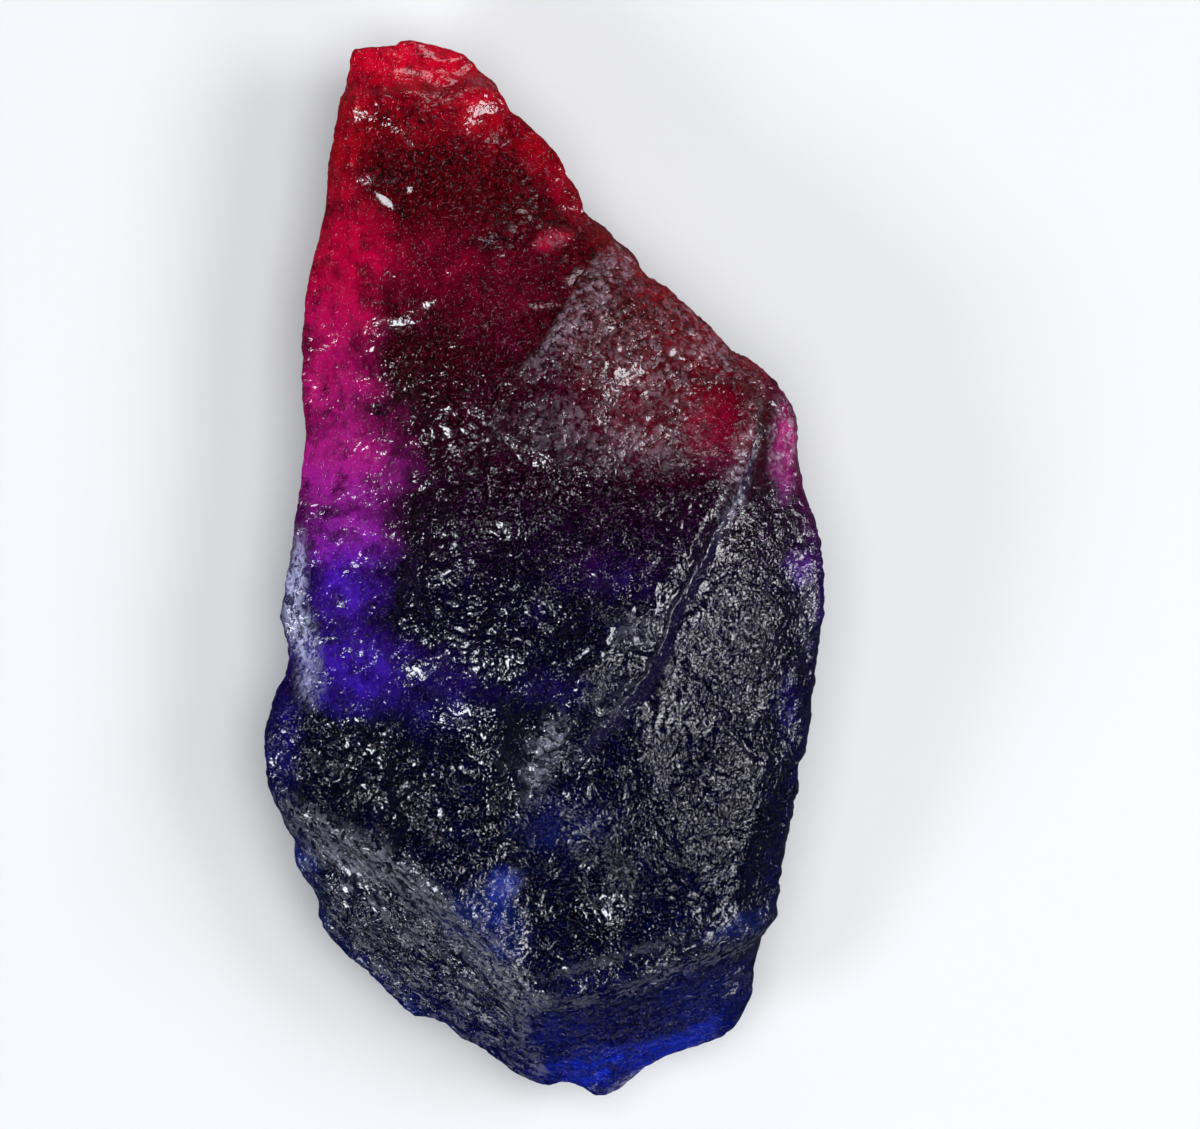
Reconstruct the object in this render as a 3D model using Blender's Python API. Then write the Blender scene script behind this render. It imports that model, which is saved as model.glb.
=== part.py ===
"""A rough piece of bicolour sapphire, in metres, +Z up.

It is one natural solid: a long broken wedge that tapers to a thin tip, thin along its
left side and thick along its right side. It lies on a flat parting face in the middle
of its underside, which is the plane z = 0.

The stone is drawn on a sheet, x to the right and y down, at 10 units to the millimetre,
as it is seen from straight above. The outline is filled and extruded to a slab, which
is loop cut along, across and round its side. Then it is sculpted: every vertex goes to
the height of the broken faces, which are planes between the creases and the points
given below, with their creases a little worn. Last, the underside is cut flat.
"""

import math

import bmesh
import bpy
import numpy as np
from mathutils import Vector, noise
from mathutils.geometry import delaunay_2d_cdt

for old in list(bpy.data.objects):
    bpy.data.objects.remove(old, do_unlink=True)

# ---------------------------------------------------------------- driving dimensions
MM = 0.001
UNIT = 0.1  # millimetres to one unit of the sheet
SHEET_CENTRE = (543.5, 569.0)  # the middle of the outline's box, in sheet units
SLAB = 12.0  # mm, the thickness of the slab before it is sculpted
NET = 1.5  # mm between the cuts of the net
SIDE_CUTS = 2  # loop cuts round the side
WEAR = 0.9  # mm over which a crease of the upper face is rounded
UNDER_WEAR = 2.0  # mm, the same on the underside
DRAW_REACH = 4.5  # mm from the outline in which the underside draws in
REST_PLANE = 0.0  # mm, the flat parting face that the stone lies on

# The outline, clockwise from the upper left corner of the tip.
OUTLINE = [
    (351, 60), (355, 51), (370, 49), (396, 46), (400, 42), (411, 41), (430, 45),
    (450, 50), (462, 55), (472, 63), (480, 74), (492, 83), (500, 99), (506, 111),
    (519, 120), (541, 140), (550, 150), (557, 161), (560, 170), (566, 181),
    (574, 192), (583, 211), (602, 232), (616, 248), (630, 262), (640, 276),
    (655, 290), (684, 313), (697, 327), (712, 340), (728, 353), (742, 361),
    (755, 371), (767, 383), (780, 397), (788, 410), (790, 420), (791, 440),
    (794, 460), (802, 500), (808, 520), (814, 540), (817, 560), (820, 595),
    (819, 615), (815, 630), (812, 645), (812, 660), (810, 680), (806, 695),
    (802, 710), (800, 730), (799, 750), (795, 765), (793, 785), (788, 800),
    (786, 820), (782, 840), (778, 860), (776, 880), (774, 900), (775, 915),
    (768, 925), (759, 935), (755, 950), (752, 965), (752, 980), (748, 998),
    (741, 1012), (734, 1025), (722, 1038), (705, 1043), (690, 1048), (675, 1054),
    (662, 1059), (645, 1069), (633, 1080), (620, 1090), (605, 1096), (594, 1097),
    (585, 1091), (572, 1085), (560, 1083), (548, 1087), (535, 1083), (520, 1078),
    (505, 1068), (490, 1056), (475, 1045), (460, 1037), (445, 1024), (430, 1018),
    (415, 1014), (403, 1005), (390, 993), (368, 970), (355, 960), (345, 953),
    (335, 943), (326, 930), (320, 918), (320, 902), (315, 892), (306, 880),
    (296, 866), (292, 852), (293, 840), (287, 828), (278, 810), (272, 795),
    (270, 780), (267, 765), (267, 745), (268, 725), (271, 708), (276, 692),
    (284, 675), (289, 660), (288, 645), (285, 630), (283, 617), (287, 600),
    (290, 580), (294, 540), (298, 500), (303, 460), (305, 440), (304, 420),
    (302, 400), (301, 350), (305, 300), (308, 280), (313, 258), (318, 240),
    (326, 205), (328, 190), (329, 165), (333, 150), (336, 130), (339, 115),
    (343, 100), (348, 96), (350, 80),
]

# Stations round the edge: where, then the heights in mm of the side's upper and lower
# rims. The left side is a thin edge, and the right side a broken wall.
EDGE = [
    (355, 51, 11.8, 9.2), (440, 47, 12.0, 9.0), (500, 99, 13.4, 8.4),
    (583, 211, 15.2, 7.8), (697, 327, 17.2, 7.0), (788, 410, 17.0, 6.6),
    (817, 560, 18.6, 6.4), (812, 660, 18.9, 6.2), (793, 785, 18.4, 6.4),
    (775, 915, 14.8, 7.0), (748, 998, 11.4, 7.2), (675, 1054, 9.2, 6.6),
    (594, 1097, 8.4, 6.2), (535, 1083, 9.0, 6.6), (445, 1024, 10.0, 7.0),
    (355, 960, 10.4, 7.2), (296, 866, 10.8, 7.8), (267, 755, 11.6, 8.6),
    (285, 630, 11.4, 8.6), (298, 500, 11.5, 8.6), (304, 420, 11.4, 8.4),
    (302, 320, 11.4, 8.4), (326, 205, 11.8, 8.6), (343, 100, 12.0, 9.0),
]

# Creases of the upper face: lines of sheet place and height in mm. Each one is an edge
# between two broken faces.
CREASES = [
    # the crest, from the right shoulder down to the nose of the dark face
    [(783, 404, 17.4), (748, 434, 21.6), (722, 492, 24.4), (688, 548, 26.6),
     (642, 592, 27.9), (610, 622, 28.5), (597, 655, 28.6), (573, 694, 28.3),
     (547, 727, 27.4), (535, 756, 26.2), (531, 800, 24.0)],
    # the foot of the crest's right slope, along the groove
    [(764, 436, 20.4), (746, 468, 22.2), (736, 499, 23.1), (703, 561, 25.3),
     (680, 606, 26.6), (660, 650, 27.0), (632, 697, 26.8), (592, 741, 26.2),
     (570, 768, 25.4), (556, 800, 23.8)],
    # the lower left ridge, and the shelf below it
    [(284, 806, 12.6), (306, 813, 14.4), (344, 830, 16.9), (398, 860, 19.2),
     (448, 896, 20.4), (494, 942, 20.2), (523, 988, 19.2)],
    [(296, 834, 12.0), (338, 855, 14.2), (392, 888, 16.2), (440, 930, 17.0),
     (486, 984, 16.4)],
    # the ridge over the lower right face, and the corner below both ridges
    [(523, 988, 19.2), (560, 992, 19.3), (600, 985, 19.7), (650, 966, 19.8),
     (700, 949, 19.2), (745, 932, 17.4), (770, 919, 15.4)],
    [(523, 988, 19.2), (526, 1032, 14.9), (541, 1075, 10.6)],
    # the step across the tip: its foot and its brow
    [(352, 92, 12.4), (380, 88, 13.2), (410, 86, 13.6), (446, 90, 13.8), (478, 82, 13.6)],
    [(350, 104, 13.0), (378, 99, 14.6), (410, 96, 15.4), (446, 100, 15.6), (484, 94, 14.8)],
    # the edge of the sheen face on the right shoulder, which stands proud
    [(612, 258, 16.8), (586, 282, 19.4), (566, 306, 21.0), (552, 342, 22.2), (545, 380, 23.0)],
    [(620, 262, 17.6), (594, 288, 20.6), (575, 311, 22.2), (561, 346, 23.2), (553, 384, 23.6)],
    [(634, 290, 18.6), (690, 348, 19.6), (750, 396, 19.2)],
    # the fold where the thin left edge starts
    [(346, 160, 13.2), (352, 230, 13.9), (346, 300, 13.9), (350, 400, 14.2),
     (362, 480, 14.8), (366, 560, 15.2), (370, 640, 15.8), (352, 700, 15.6),
     (326, 760, 14.6)],
]

# Points of the broken faces between the creases: sheet place and height in mm.
RELIEF = [
    # the thin tip
    (392, 62, 12.8), (440, 66, 13.2), (372, 74, 12.7),
    # the red face
    (395, 150, 15.9), (450, 150, 17.0), (510, 152, 15.8), (400, 215, 16.1),
    (455, 215, 18.1), (520, 215, 18.2), (560, 208, 16.6), (395, 300, 16.9),
    (450, 305, 19.7), (505, 300, 20.9), (560, 250, 19.2), (600, 245, 16.6),
    # the sheen face
    (618, 335, 21.6), (655, 360, 21.2), (605, 410, 23.8), (660, 430, 23.2),
    (705, 420, 22.0), (690, 480, 24.6), (640, 500, 25.4),
    # the pink corner and the wall below it
    (780, 440, 18.2), (788, 480, 18.4), (798, 530, 19.0),
    # the right face
    (784, 570, 21.0), (766, 620, 22.8), (780, 680, 21.4), (728, 690, 24.4),
    (735, 730, 23.6), (758, 768, 21.8), (700, 770, 24.6), (655, 776, 25.4),
    (616, 816, 24.8), (745, 840, 21.0), (690, 850, 22.8), (636, 866, 23.0),
    (728, 890, 19.4), (672, 912, 20.2),
    # the dark middle, steeper on its left and nearly level on its right
    (400, 400, 17.0), (450, 400, 20.3), (500, 400, 22.3), (404, 500, 17.3),
    (450, 500, 20.5), (500, 500, 22.7), (560, 500, 24.0), (610, 500, 24.8),
    (405, 600, 17.9), (450, 600, 21.0), (500, 600, 23.6), (560, 600, 25.9),
    (400, 700, 18.5), (450, 700, 21.0), (500, 700, 23.2), (536, 690, 25.4),
    (400, 760, 18.6), (450, 760, 20.6), (498, 770, 22.2),
    # the lower left face, which is cupped
    (300, 770, 13.4), (350, 795, 15.2), (390, 820, 17.4), (430, 830, 19.6),
    (480, 850, 20.8),
    # the hollow above the meeting of the three lower faces
    (512, 890, 19.8), (548, 880, 18.6), (580, 905, 17.4), (600, 880, 20.2),
    (545, 930, 17.4), (572, 948, 18.9), (620, 935, 19.0), (540, 965, 17.2),
    # the lower left band
    (332, 890, 13.0), (372, 930, 13.6), (420, 970, 13.8), (468, 1010, 13.4),
    (508, 1046, 12.0),
    # the lower right face
    (560, 1052, 12.2), (604, 1040, 13.2), (660, 1018, 14.0), (712, 985, 15.0),
    (740, 960, 14.6), (600, 1074, 10.6),
]

# Points of the underside. The ones below the rest plane are cut off flat.
UNDERSIDE = [
    (420, 100, 7.2), (395, 180, 5.4), (480, 170, 5.0), (345, 300, 6.0), (540, 230, 4.0),
    (400, 260, 2.6), (470, 250, 1.6), (640, 330, 3.0), (740, 430, 3.2), (335, 450, 5.4),
    (325, 600, 5.6), (312, 720, 5.6), (775, 560, 2.6), (772, 700, 2.2), (752, 850, 2.8),
    (712, 950, 3.6), (640, 1020, 4.0), (560, 1025, 4.0), (470, 985, 3.6),
    (385, 915, 3.8), (325, 835, 4.8), (440, 310, -0.5), (560, 320, -0.6),
    (660, 420, -0.7), (735, 600, -0.6), (735, 740, -0.7), (700, 860, -0.6),
    (620, 930, -0.5), (520, 930, -0.6), (430, 860, -0.6), (370, 760, -0.4),
    (380, 620, -0.5), (378, 480, -0.5), (400, 380, -0.5), (520, 480, -1.8),
    (600, 640, -2.0), (520, 780, -1.8),
]


# ---------------------------------------------------------------- geometry helpers
def to_mm(x, y):
    """Sheet place to the stone's own frame, in mm, with y up the stone."""
    return (x - SHEET_CENTRE[0]) * UNIT, (SHEET_CENTRE[1] - y) * UNIT


def scalar_noise(x, y, z, size, seed):
    return noise.noise(Vector((x / size + seed * 7.31, y / size - seed * 3.17, z / size + seed)))


def evenly_along(outline, spacing):
    """Points on a closed line at an even spacing, in mm."""
    points = [Vector(to_mm(*p)) for p in outline]
    placed = []
    for a, b in zip(points, points[1:] + points[:1]):
        steps = max(1, round((b - a).length / spacing))
        placed += [a.lerp(b, i / steps) for i in range(steps)]
    kept = [placed[0]]
    for p in placed[1:]:
        if (p - kept[-1]).length > 0.62 * spacing:
            kept.append(p)
    if (kept[-1] - kept[0]).length < 0.5 * spacing:
        kept.pop()
    return kept


def inside(ring, p):
    """True if a place lies inside a closed ring."""
    found = False
    for a, b in zip(ring, ring[1:] + ring[:1]):
        if (a.y > p.y) != (b.y > p.y) and p.x < a.x + (p.y - a.y) * (b.x - a.x) / (b.y - a.y):
            found = not found
    return found


def to_edge(ring, p):
    """Distance from a place to the ring, and the nearest point of the ring."""
    best, nearest = 1e9, None
    for a, b in zip(ring, ring[1:] + ring[:1]):
        step = b - a
        q = a + step * max(0.0, min(1.0, (p - a).dot(step) / step.length_squared))
        if (p - q).length < best:
            best, nearest = (p - q).length, q
    return best, nearest


def broken_faces(lines, points):
    """The height of planes that meet along the lines, as a function of places.

    The lines and points, (x, y, height) in mm, are joined to triangles that keep every
    line as an edge. The function takes arrays of x and y.
    """
    corners, heights, edges = [], [], []
    for line in lines:
        start = len(corners)
        corners += [Vector(p[:2]) for p in line]
        heights += [p[2] for p in line]
        edges += [(start + i, start + i + 1) for i in range(len(line) - 1)]
    corners += [Vector(p[:2]) for p in points]
    heights += [p[2] for p in points]
    found = delaunay_2d_cdt(corners, edges, [], 0, 1e-5)
    spots = np.array([tuple(p) for p in found[0]])
    level = np.array([np.mean([heights[o] for o in group]) if group else np.nan for group in found[3]])
    for k in np.flatnonzero(np.isnan(level)):  # where two lines cross
        near = np.argsort(((spots - spots[k]) ** 2).sum(1))
        level[k] = level[[j for j in near if not np.isnan(level[j])][:2]].mean()
    triangles = np.array(found[2])

    def height(x, y):
        x, y = np.asarray(x, float), np.asarray(y, float)
        result = np.full(x.shape, np.nan)
        for i, j, k in triangles:
            (ax, ay), (bx, by), (cx, cy) = spots[i], spots[j], spots[k]
            area = (bx - ax) * (cy - ay) - (cx - ax) * (by - ay)
            if abs(area) < 1e-9:
                continue
            u = ((x - ax) * (cy - ay) - (cx - ax) * (y - ay)) / area
            v = ((bx - ax) * (y - ay) - (x - ax) * (by - ay)) / area
            hit = (u >= -1e-6) & (v >= -1e-6) & (u + v <= 1 + 1e-6)
            result[hit] = (level[i] + u * (level[j] - level[i]) + v * (level[k] - level[i]))[hit]
        return result

    return height


def worn(height, x, y, reach):
    """The planes with their creases rounded over a reach: a mean of places round each one."""
    total = 2.0 * height(x, y)
    count = np.full(x.shape, 2.0)
    for radius, spokes in ((0.5 * reach, 6), (reach, 10)):
        for k in range(spokes):
            turn = 2 * math.pi * (k + 0.3 * (spokes == 10)) / spokes
            near = height(x + radius * math.cos(turn), y + radius * math.sin(turn))
            good = ~np.isnan(near)
            total[good] += near[good]
            count[good] += 1
    return total / count


# ---------------------------------------------------------------- rims of the side
ring = evenly_along(OUTLINE, NET)
count = len(ring)
travel = np.concatenate(
    [[0.0], np.cumsum([(b - a).length for a, b in zip(ring, ring[1:] + ring[:1])])]
)
stations = []
for sx, sy, high_rim, low_rim in EDGE:
    place = Vector(to_mm(sx, sy))
    stations.append((travel[min(range(count), key=lambda i: (ring[i] - place).length)], high_rim, low_rim))
stations.sort()
station_at, station_high, station_low = (np.array(c) for c in zip(*stations))


def rims(distance, p):
    """Heights of the side's upper and lower rims at a distance round the outline."""
    high = np.interp(distance, station_at, station_high, period=travel[-1])
    low = np.interp(distance, station_at, station_low, period=travel[-1])
    high += 0.9 * scalar_noise(p.x, p.y, 0, 3.6, 3)
    low += 0.9 * scalar_noise(p.x, p.y, 0, 4.4, 4)
    return high, min(low, high - 1.2)


rim = [rims(travel[i], ring[i]) for i in range(count)]


def rim_at(p):
    """The rims beside a place: those of the nearest two points of the ring."""
    order = sorted(range(count), key=lambda i: (ring[i] - p).length)[:2]
    weight = [1 / (1e-6 + (ring[i] - p).length) for i in order]
    return tuple(
        sum(w * rim[i][side] for w, i in zip(weight, order)) / sum(weight) for side in (0, 1)
    )


upper = broken_faces(
    [[(*to_mm(x, y), h) for x, y, h in line] for line in CREASES],
    [(*to_mm(x, y), h) for x, y, h in RELIEF]
    + [(ring[i].x, ring[i].y, rim[i][0]) for i in range(count)],
)
under = broken_faces(
    [],
    [(*to_mm(x, y), h) for x, y, h in UNDERSIDE]
    + [(ring[i].x, ring[i].y, rim[i][1]) for i in range(count)],
)


def lumps(x, y, seed):
    """The uneven swell of a broken surface, in mm: folds that are sharper at the top."""
    broad = 0.55 * scalar_noise(x, y, 0, 9.0, seed) + 0.35 * scalar_noise(x, y, 0, 4.6, seed + 1)
    fold = 0.5 - abs(scalar_noise(x, y, 0, 5.2, seed + 2)) * 2.0
    fine = 0.3 - abs(scalar_noise(x, y, 0, 2.7, seed + 3)) * 1.2
    return broad + 0.42 * fold + 0.35 * fine


def put_in_order(shape):
    """Give the vertices, edges and faces one fixed order, so every build is the same."""

    def rank(place):
        return place.x * 1000 + place.y * 31700 + place.z * 1013300

    shape.verts.sort(key=lambda v: rank(v.co))
    shape.edges.sort(key=lambda e: rank((e.verts[0].co + e.verts[1].co) / 2))
    shape.faces.sort(key=lambda f: rank(f.calc_center_median()))


# ---------------------------------------------------------------- the solid
# the slab: the outline, filled and extruded
curve = bpy.data.curves.new("outline", "CURVE")
curve.dimensions = "2D"
curve.fill_mode = "BOTH"
curve.extrude = SLAB * MM / 2
spline = curve.splines.new("POLY")
spline.points.add(len(OUTLINE) - 1)
for point, place in zip(spline.points, OUTLINE):
    x, y = to_mm(*place)
    point.co = (x * MM, y * MM, 0, 1)
spline.use_cyclic_u = True
outline = bpy.data.objects.new("outline", curve)
bpy.context.scene.collection.objects.link(outline)
slab = bpy.data.meshes.new_from_object(outline.evaluated_get(bpy.context.evaluated_depsgraph_get()))
bpy.data.objects.remove(outline, do_unlink=True)

shape = bmesh.new()
shape.from_mesh(slab)
bmesh.ops.remove_doubles(shape, verts=shape.verts, dist=0.001 * MM)
bmesh.ops.dissolve_limit(shape, angle_limit=0.02, verts=shape.verts, edges=shape.edges)

# the net: loop cuts along, across and round the slab
x_low, x_high = min(p.x for p in ring), max(p.x for p in ring)
y_low, y_high = min(p.y for p in ring), max(p.y for p in ring)
cuts = [((x_low + (i + 0.5) * NET, 0, 0), (1, 0, 0)) for i in range(int((x_high - x_low) / NET))]
cuts += [((0, y_low + (i + 0.5) * NET, 0), (0, 1, 0)) for i in range(int((y_high - y_low) / NET))]
cuts += [((0, 0, SLAB * (i / (SIDE_CUTS + 1) - 0.5)), (0, 0, 1)) for i in range(1, SIDE_CUTS + 1)]
for place, direction in cuts:
    bmesh.ops.bisect_plane(
        shape,
        geom=shape.verts[:] + shape.edges[:] + shape.faces[:],
        dist=0.002 * MM,
        plane_co=Vector(place) * MM,
        plane_no=direction,
    )
put_in_order(shape)

# weld what the cuts left too close together: the outline's own points, then the rest to them
def outline_verts():
    return [v for v in shape.verts if any(abs(f.normal.z) < 0.5 for f in v.link_faces)]


bmesh.ops.remove_doubles(shape, verts=outline_verts(), dist=0.33 * NET * MM)
close = bmesh.ops.find_doubles(
    shape, verts=shape.verts, keep_verts=outline_verts(), dist=0.42 * NET * MM
)
bmesh.ops.weld_verts(shape, targetmap=close["targetmap"])
put_in_order(shape)

# a little uneven, so that no row of the net shows in the stone
rim_now = set(outline_verts())
for v in shape.verts:
    if v not in rim_now:
        x, y = v.co.x / MM, v.co.y / MM
        v.co.x += 0.5 * NET * MM * scalar_noise(x, y, 0, 0.83, 1)
        v.co.y += 0.5 * NET * MM * scalar_noise(x, y, 0, 0.83, 2)
bmesh.ops.triangulate(shape, faces=shape.faces[:])

# sculpt: every vertex to its place
put_in_order(shape)
shape.verts.index_update()
flat = np.array([tuple(v.co) for v in shape.verts]) / MM
level = np.clip(flat[:, 2] / SLAB + 0.5, 0.0, 1.0)
upper_height = worn(upper, flat[:, 0], flat[:, 1], WEAR)
under_height = worn(under, flat[:, 0], flat[:, 1], UNDER_WEAR)
for v in shape.verts:
    x, y, _ = flat[v.index]
    t = level[v.index]
    p = Vector((x, y))
    gap, nearest = to_edge(ring, p)
    inner = gap > 0.3 * NET
    rim_high, rim_low = rim_at(p)
    fade = min(1.0, gap / 2.2)
    if t > 0.99 and inner:
        z = upper_height[v.index] + fade * lumps(x, y, 10)
    elif t < 0.01 and inner:
        z = under_height[v.index] + 0.6 * fade * lumps(x, y, 20)
    else:
        z = rim_low + t * (rim_high - rim_low)
    # the lower part of the side draws in under the stone, and its middle swells
    tall = rim_high - rim_low
    draw = (0.10 * tall + 0.25) * (1 - t) ** 1.6 * max(0.0, 1 - gap / DRAW_REACH)
    if inner:
        inward = (p - nearest).normalized()
    else:
        k = min(range(count), key=lambda i: (ring[i] - p).length)
        along = (ring[(k + 2) % count] - ring[k - 2]).normalized()
        inward = Vector((-along.y, along.x))
        if not inside(ring, p + 0.3 * inward):
            inward = -inward
        if 0.01 < t < 0.99:
            draw += 0.10 * tall * scalar_noise(x, y, 6.0 * t, 2.8, 5)
    p += inward * draw
    v.co = (p.x * MM, p.y * MM, z * MM)

# the flat parting face: cut at the rest plane and close the cut
bmesh.ops.bisect_plane(
    shape,
    geom=shape.verts[:] + shape.edges[:] + shape.faces[:],
    plane_co=(0, 0, REST_PLANE * MM),
    plane_no=(0, 0, 1),
    clear_inner=True,
)
put_in_order(shape)
rim_verts = [v for v in shape.verts if any(e.is_boundary for e in v.link_edges)]
bmesh.ops.remove_doubles(shape, verts=rim_verts, dist=0.3 * MM)
cut_edges = [e for e in shape.edges if e.is_boundary]
bmesh.ops.triangle_fill(shape, edges=cut_edges, use_beauty=True, normal=(0, 0, -1))
put_in_order(shape)
bmesh.ops.triangulate(shape, faces=[f for f in shape.faces if len(f.verts) > 3])
bmesh.ops.recalc_face_normals(shape, faces=shape.faces)
put_in_order(shape)

# the origin is under the middle of the stone's box, on the rest plane
low = [min(v.co[k] for v in shape.verts) for k in range(3)]
high = [max(v.co[k] for v in shape.verts) for k in range(3)]
bmesh.ops.translate(
    shape, verts=shape.verts, vec=(-(low[0] + high[0]) / 2, -(low[1] + high[1]) / 2, -low[2])
)

# ---------------------------------------------------------------- the scene
mesh = bpy.data.meshes.new("crystal")
shape.to_mesh(mesh)
shape.free()
mesh.shade_smooth()
mesh.set_sharp_from_angle(angle=math.radians(35))

crystal = bpy.data.objects.new("crystal", mesh)
collection = bpy.data.collections.new("rough_sapphire")
bpy.context.scene.collection.children.link(collection)
collection.objects.link(crystal)

# Deep red at the tip and blue at the foot, with violet between them.
material = bpy.data.materials.new("sapphire")
material.use_nodes = True
tree = material.node_tree
surface = next(n for n in tree.nodes if n.type == "BSDF_PRINCIPLED")
surface.inputs["Roughness"].default_value = 0.28
surface.inputs["Metallic"].default_value = 0.0
surface.inputs["IOR"].default_value = 1.76
place = tree.nodes.new("ShaderNodeTexCoord")
split = tree.nodes.new("ShaderNodeSeparateXYZ")
span = tree.nodes.new("ShaderNodeMapRange")
span.inputs["From Min"].default_value = -0.053
span.inputs["From Max"].default_value = 0.053
ramp = tree.nodes.new("ShaderNodeValToRGB")
ramp.color_ramp.elements[0].color = (0.008, 0.015, 0.25, 1)
ramp.color_ramp.elements[1].color = (0.45, 0.0, 0.02, 1)
middle = ramp.color_ramp.elements.new(0.52)
middle.color = (0.03, 0.005, 0.09, 1)
tree.links.new(place.outputs["Object"], split.inputs["Vector"])
tree.links.new(split.outputs["Y"], span.inputs["Value"])
tree.links.new(span.outputs["Result"], ramp.inputs["Fac"])
tree.links.new(ramp.outputs["Color"], surface.inputs["Base Color"])
mesh.materials.append(material)
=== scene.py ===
import math

import bpy
import numpy as np
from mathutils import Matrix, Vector
from mathutils.geometry import delaunay_2d_cdt


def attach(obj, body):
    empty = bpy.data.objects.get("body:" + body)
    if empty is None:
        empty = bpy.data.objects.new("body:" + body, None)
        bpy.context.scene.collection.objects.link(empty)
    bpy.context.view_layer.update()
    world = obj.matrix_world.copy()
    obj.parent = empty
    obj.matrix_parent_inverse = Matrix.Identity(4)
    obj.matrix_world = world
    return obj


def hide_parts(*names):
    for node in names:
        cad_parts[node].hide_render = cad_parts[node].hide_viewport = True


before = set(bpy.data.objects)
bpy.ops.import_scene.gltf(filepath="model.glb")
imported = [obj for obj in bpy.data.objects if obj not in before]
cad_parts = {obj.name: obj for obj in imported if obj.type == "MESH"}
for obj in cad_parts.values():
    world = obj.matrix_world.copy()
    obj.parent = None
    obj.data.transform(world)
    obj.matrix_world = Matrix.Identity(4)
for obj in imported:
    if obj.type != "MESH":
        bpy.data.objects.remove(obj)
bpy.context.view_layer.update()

# ---------------------------------------------------------------------------------
# The rough sapphire's visible surface: the same broken faces as the solid, at a
# quarter of a millimetre, with its chips, pebbles, streaks and crinkle.
# Sheet units are tenths of a millimetre, x to the right and y down.
# ---------------------------------------------------------------------------------
MM = 0.001
UNIT = 0.1
SHEET_CENTRE = (543.5, 569.0)
RING_STEP = 0.25  # mm between points of the outline
NET_TOP = 0.262  # mm, the upper face's net
NET_UNDER = 0.62  # mm, the underside's net
SIDE_ROWS = 7
DRAW_REACH = 4.5

OUTLINE = [
    (351, 60), (355, 51), (370, 49), (396, 46), (400, 42), (411, 41), (430, 45),
    (450, 50), (462, 55), (472, 63), (480, 74), (492, 83), (500, 99), (506, 111),
    (519, 120), (541, 140), (550, 150), (557, 161), (560, 170), (566, 181),
    (574, 192), (583, 211), (602, 232), (616, 248), (630, 262), (640, 276),
    (655, 290), (684, 313), (697, 327), (712, 340), (728, 353), (742, 361),
    (755, 371), (767, 383), (780, 397), (788, 410), (790, 420), (791, 440),
    (794, 460), (802, 500), (808, 520), (814, 540), (817, 560), (820, 595),
    (819, 615), (815, 630), (812, 645), (812, 660), (810, 680), (806, 695),
    (802, 710), (800, 730), (799, 750), (795, 765), (793, 785), (788, 800),
    (786, 820), (782, 840), (778, 860), (776, 880), (774, 900), (775, 915),
    (768, 925), (759, 935), (755, 950), (752, 965), (752, 980), (748, 998),
    (741, 1012), (734, 1025), (722, 1038), (705, 1043), (690, 1048), (675, 1054),
    (662, 1059), (645, 1069), (633, 1080), (620, 1090), (605, 1096), (594, 1097),
    (585, 1091), (572, 1085), (560, 1083), (548, 1087), (535, 1083), (520, 1078),
    (505, 1068), (490, 1056), (475, 1045), (460, 1037), (445, 1024), (430, 1018),
    (415, 1014), (403, 1005), (390, 993), (368, 970), (355, 960), (345, 953),
    (335, 943), (326, 930), (320, 918), (320, 902), (315, 892), (306, 880),
    (296, 866), (292, 852), (293, 840), (287, 828), (278, 810), (272, 795),
    (270, 780), (267, 765), (267, 745), (268, 725), (271, 708), (276, 692),
    (284, 675), (289, 660), (288, 645), (285, 630), (283, 617), (287, 600),
    (290, 580), (294, 540), (298, 500), (303, 460), (305, 440), (304, 420),
    (302, 400), (301, 350), (305, 300), (308, 280), (313, 258), (318, 240),
    (326, 205), (328, 190), (329, 165), (333, 150), (336, 130), (339, 115),
    (343, 100), (348, 96), (350, 80),
]

EDGE = [
    (355, 51, 11.8, 9.2), (440, 47, 12.0, 9.0), (500, 99, 13.4, 8.4),
    (583, 211, 15.2, 7.8), (697, 327, 17.2, 7.0), (788, 410, 17.0, 6.6),
    (817, 560, 18.6, 6.4), (812, 660, 18.9, 6.2), (793, 785, 18.4, 6.4),
    (775, 915, 14.8, 7.0), (748, 998, 11.4, 7.2), (675, 1054, 9.2, 6.6),
    (594, 1097, 8.4, 6.2), (535, 1083, 9.0, 6.6), (445, 1024, 10.0, 7.0),
    (355, 960, 10.4, 7.2), (296, 866, 10.8, 7.8), (267, 755, 11.6, 8.6),
    (285, 630, 11.4, 8.6), (298, 500, 11.5, 8.6), (304, 420, 11.4, 8.4),
    (302, 320, 11.4, 8.4), (326, 205, 11.8, 8.6), (343, 100, 12.0, 9.0),
]

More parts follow.
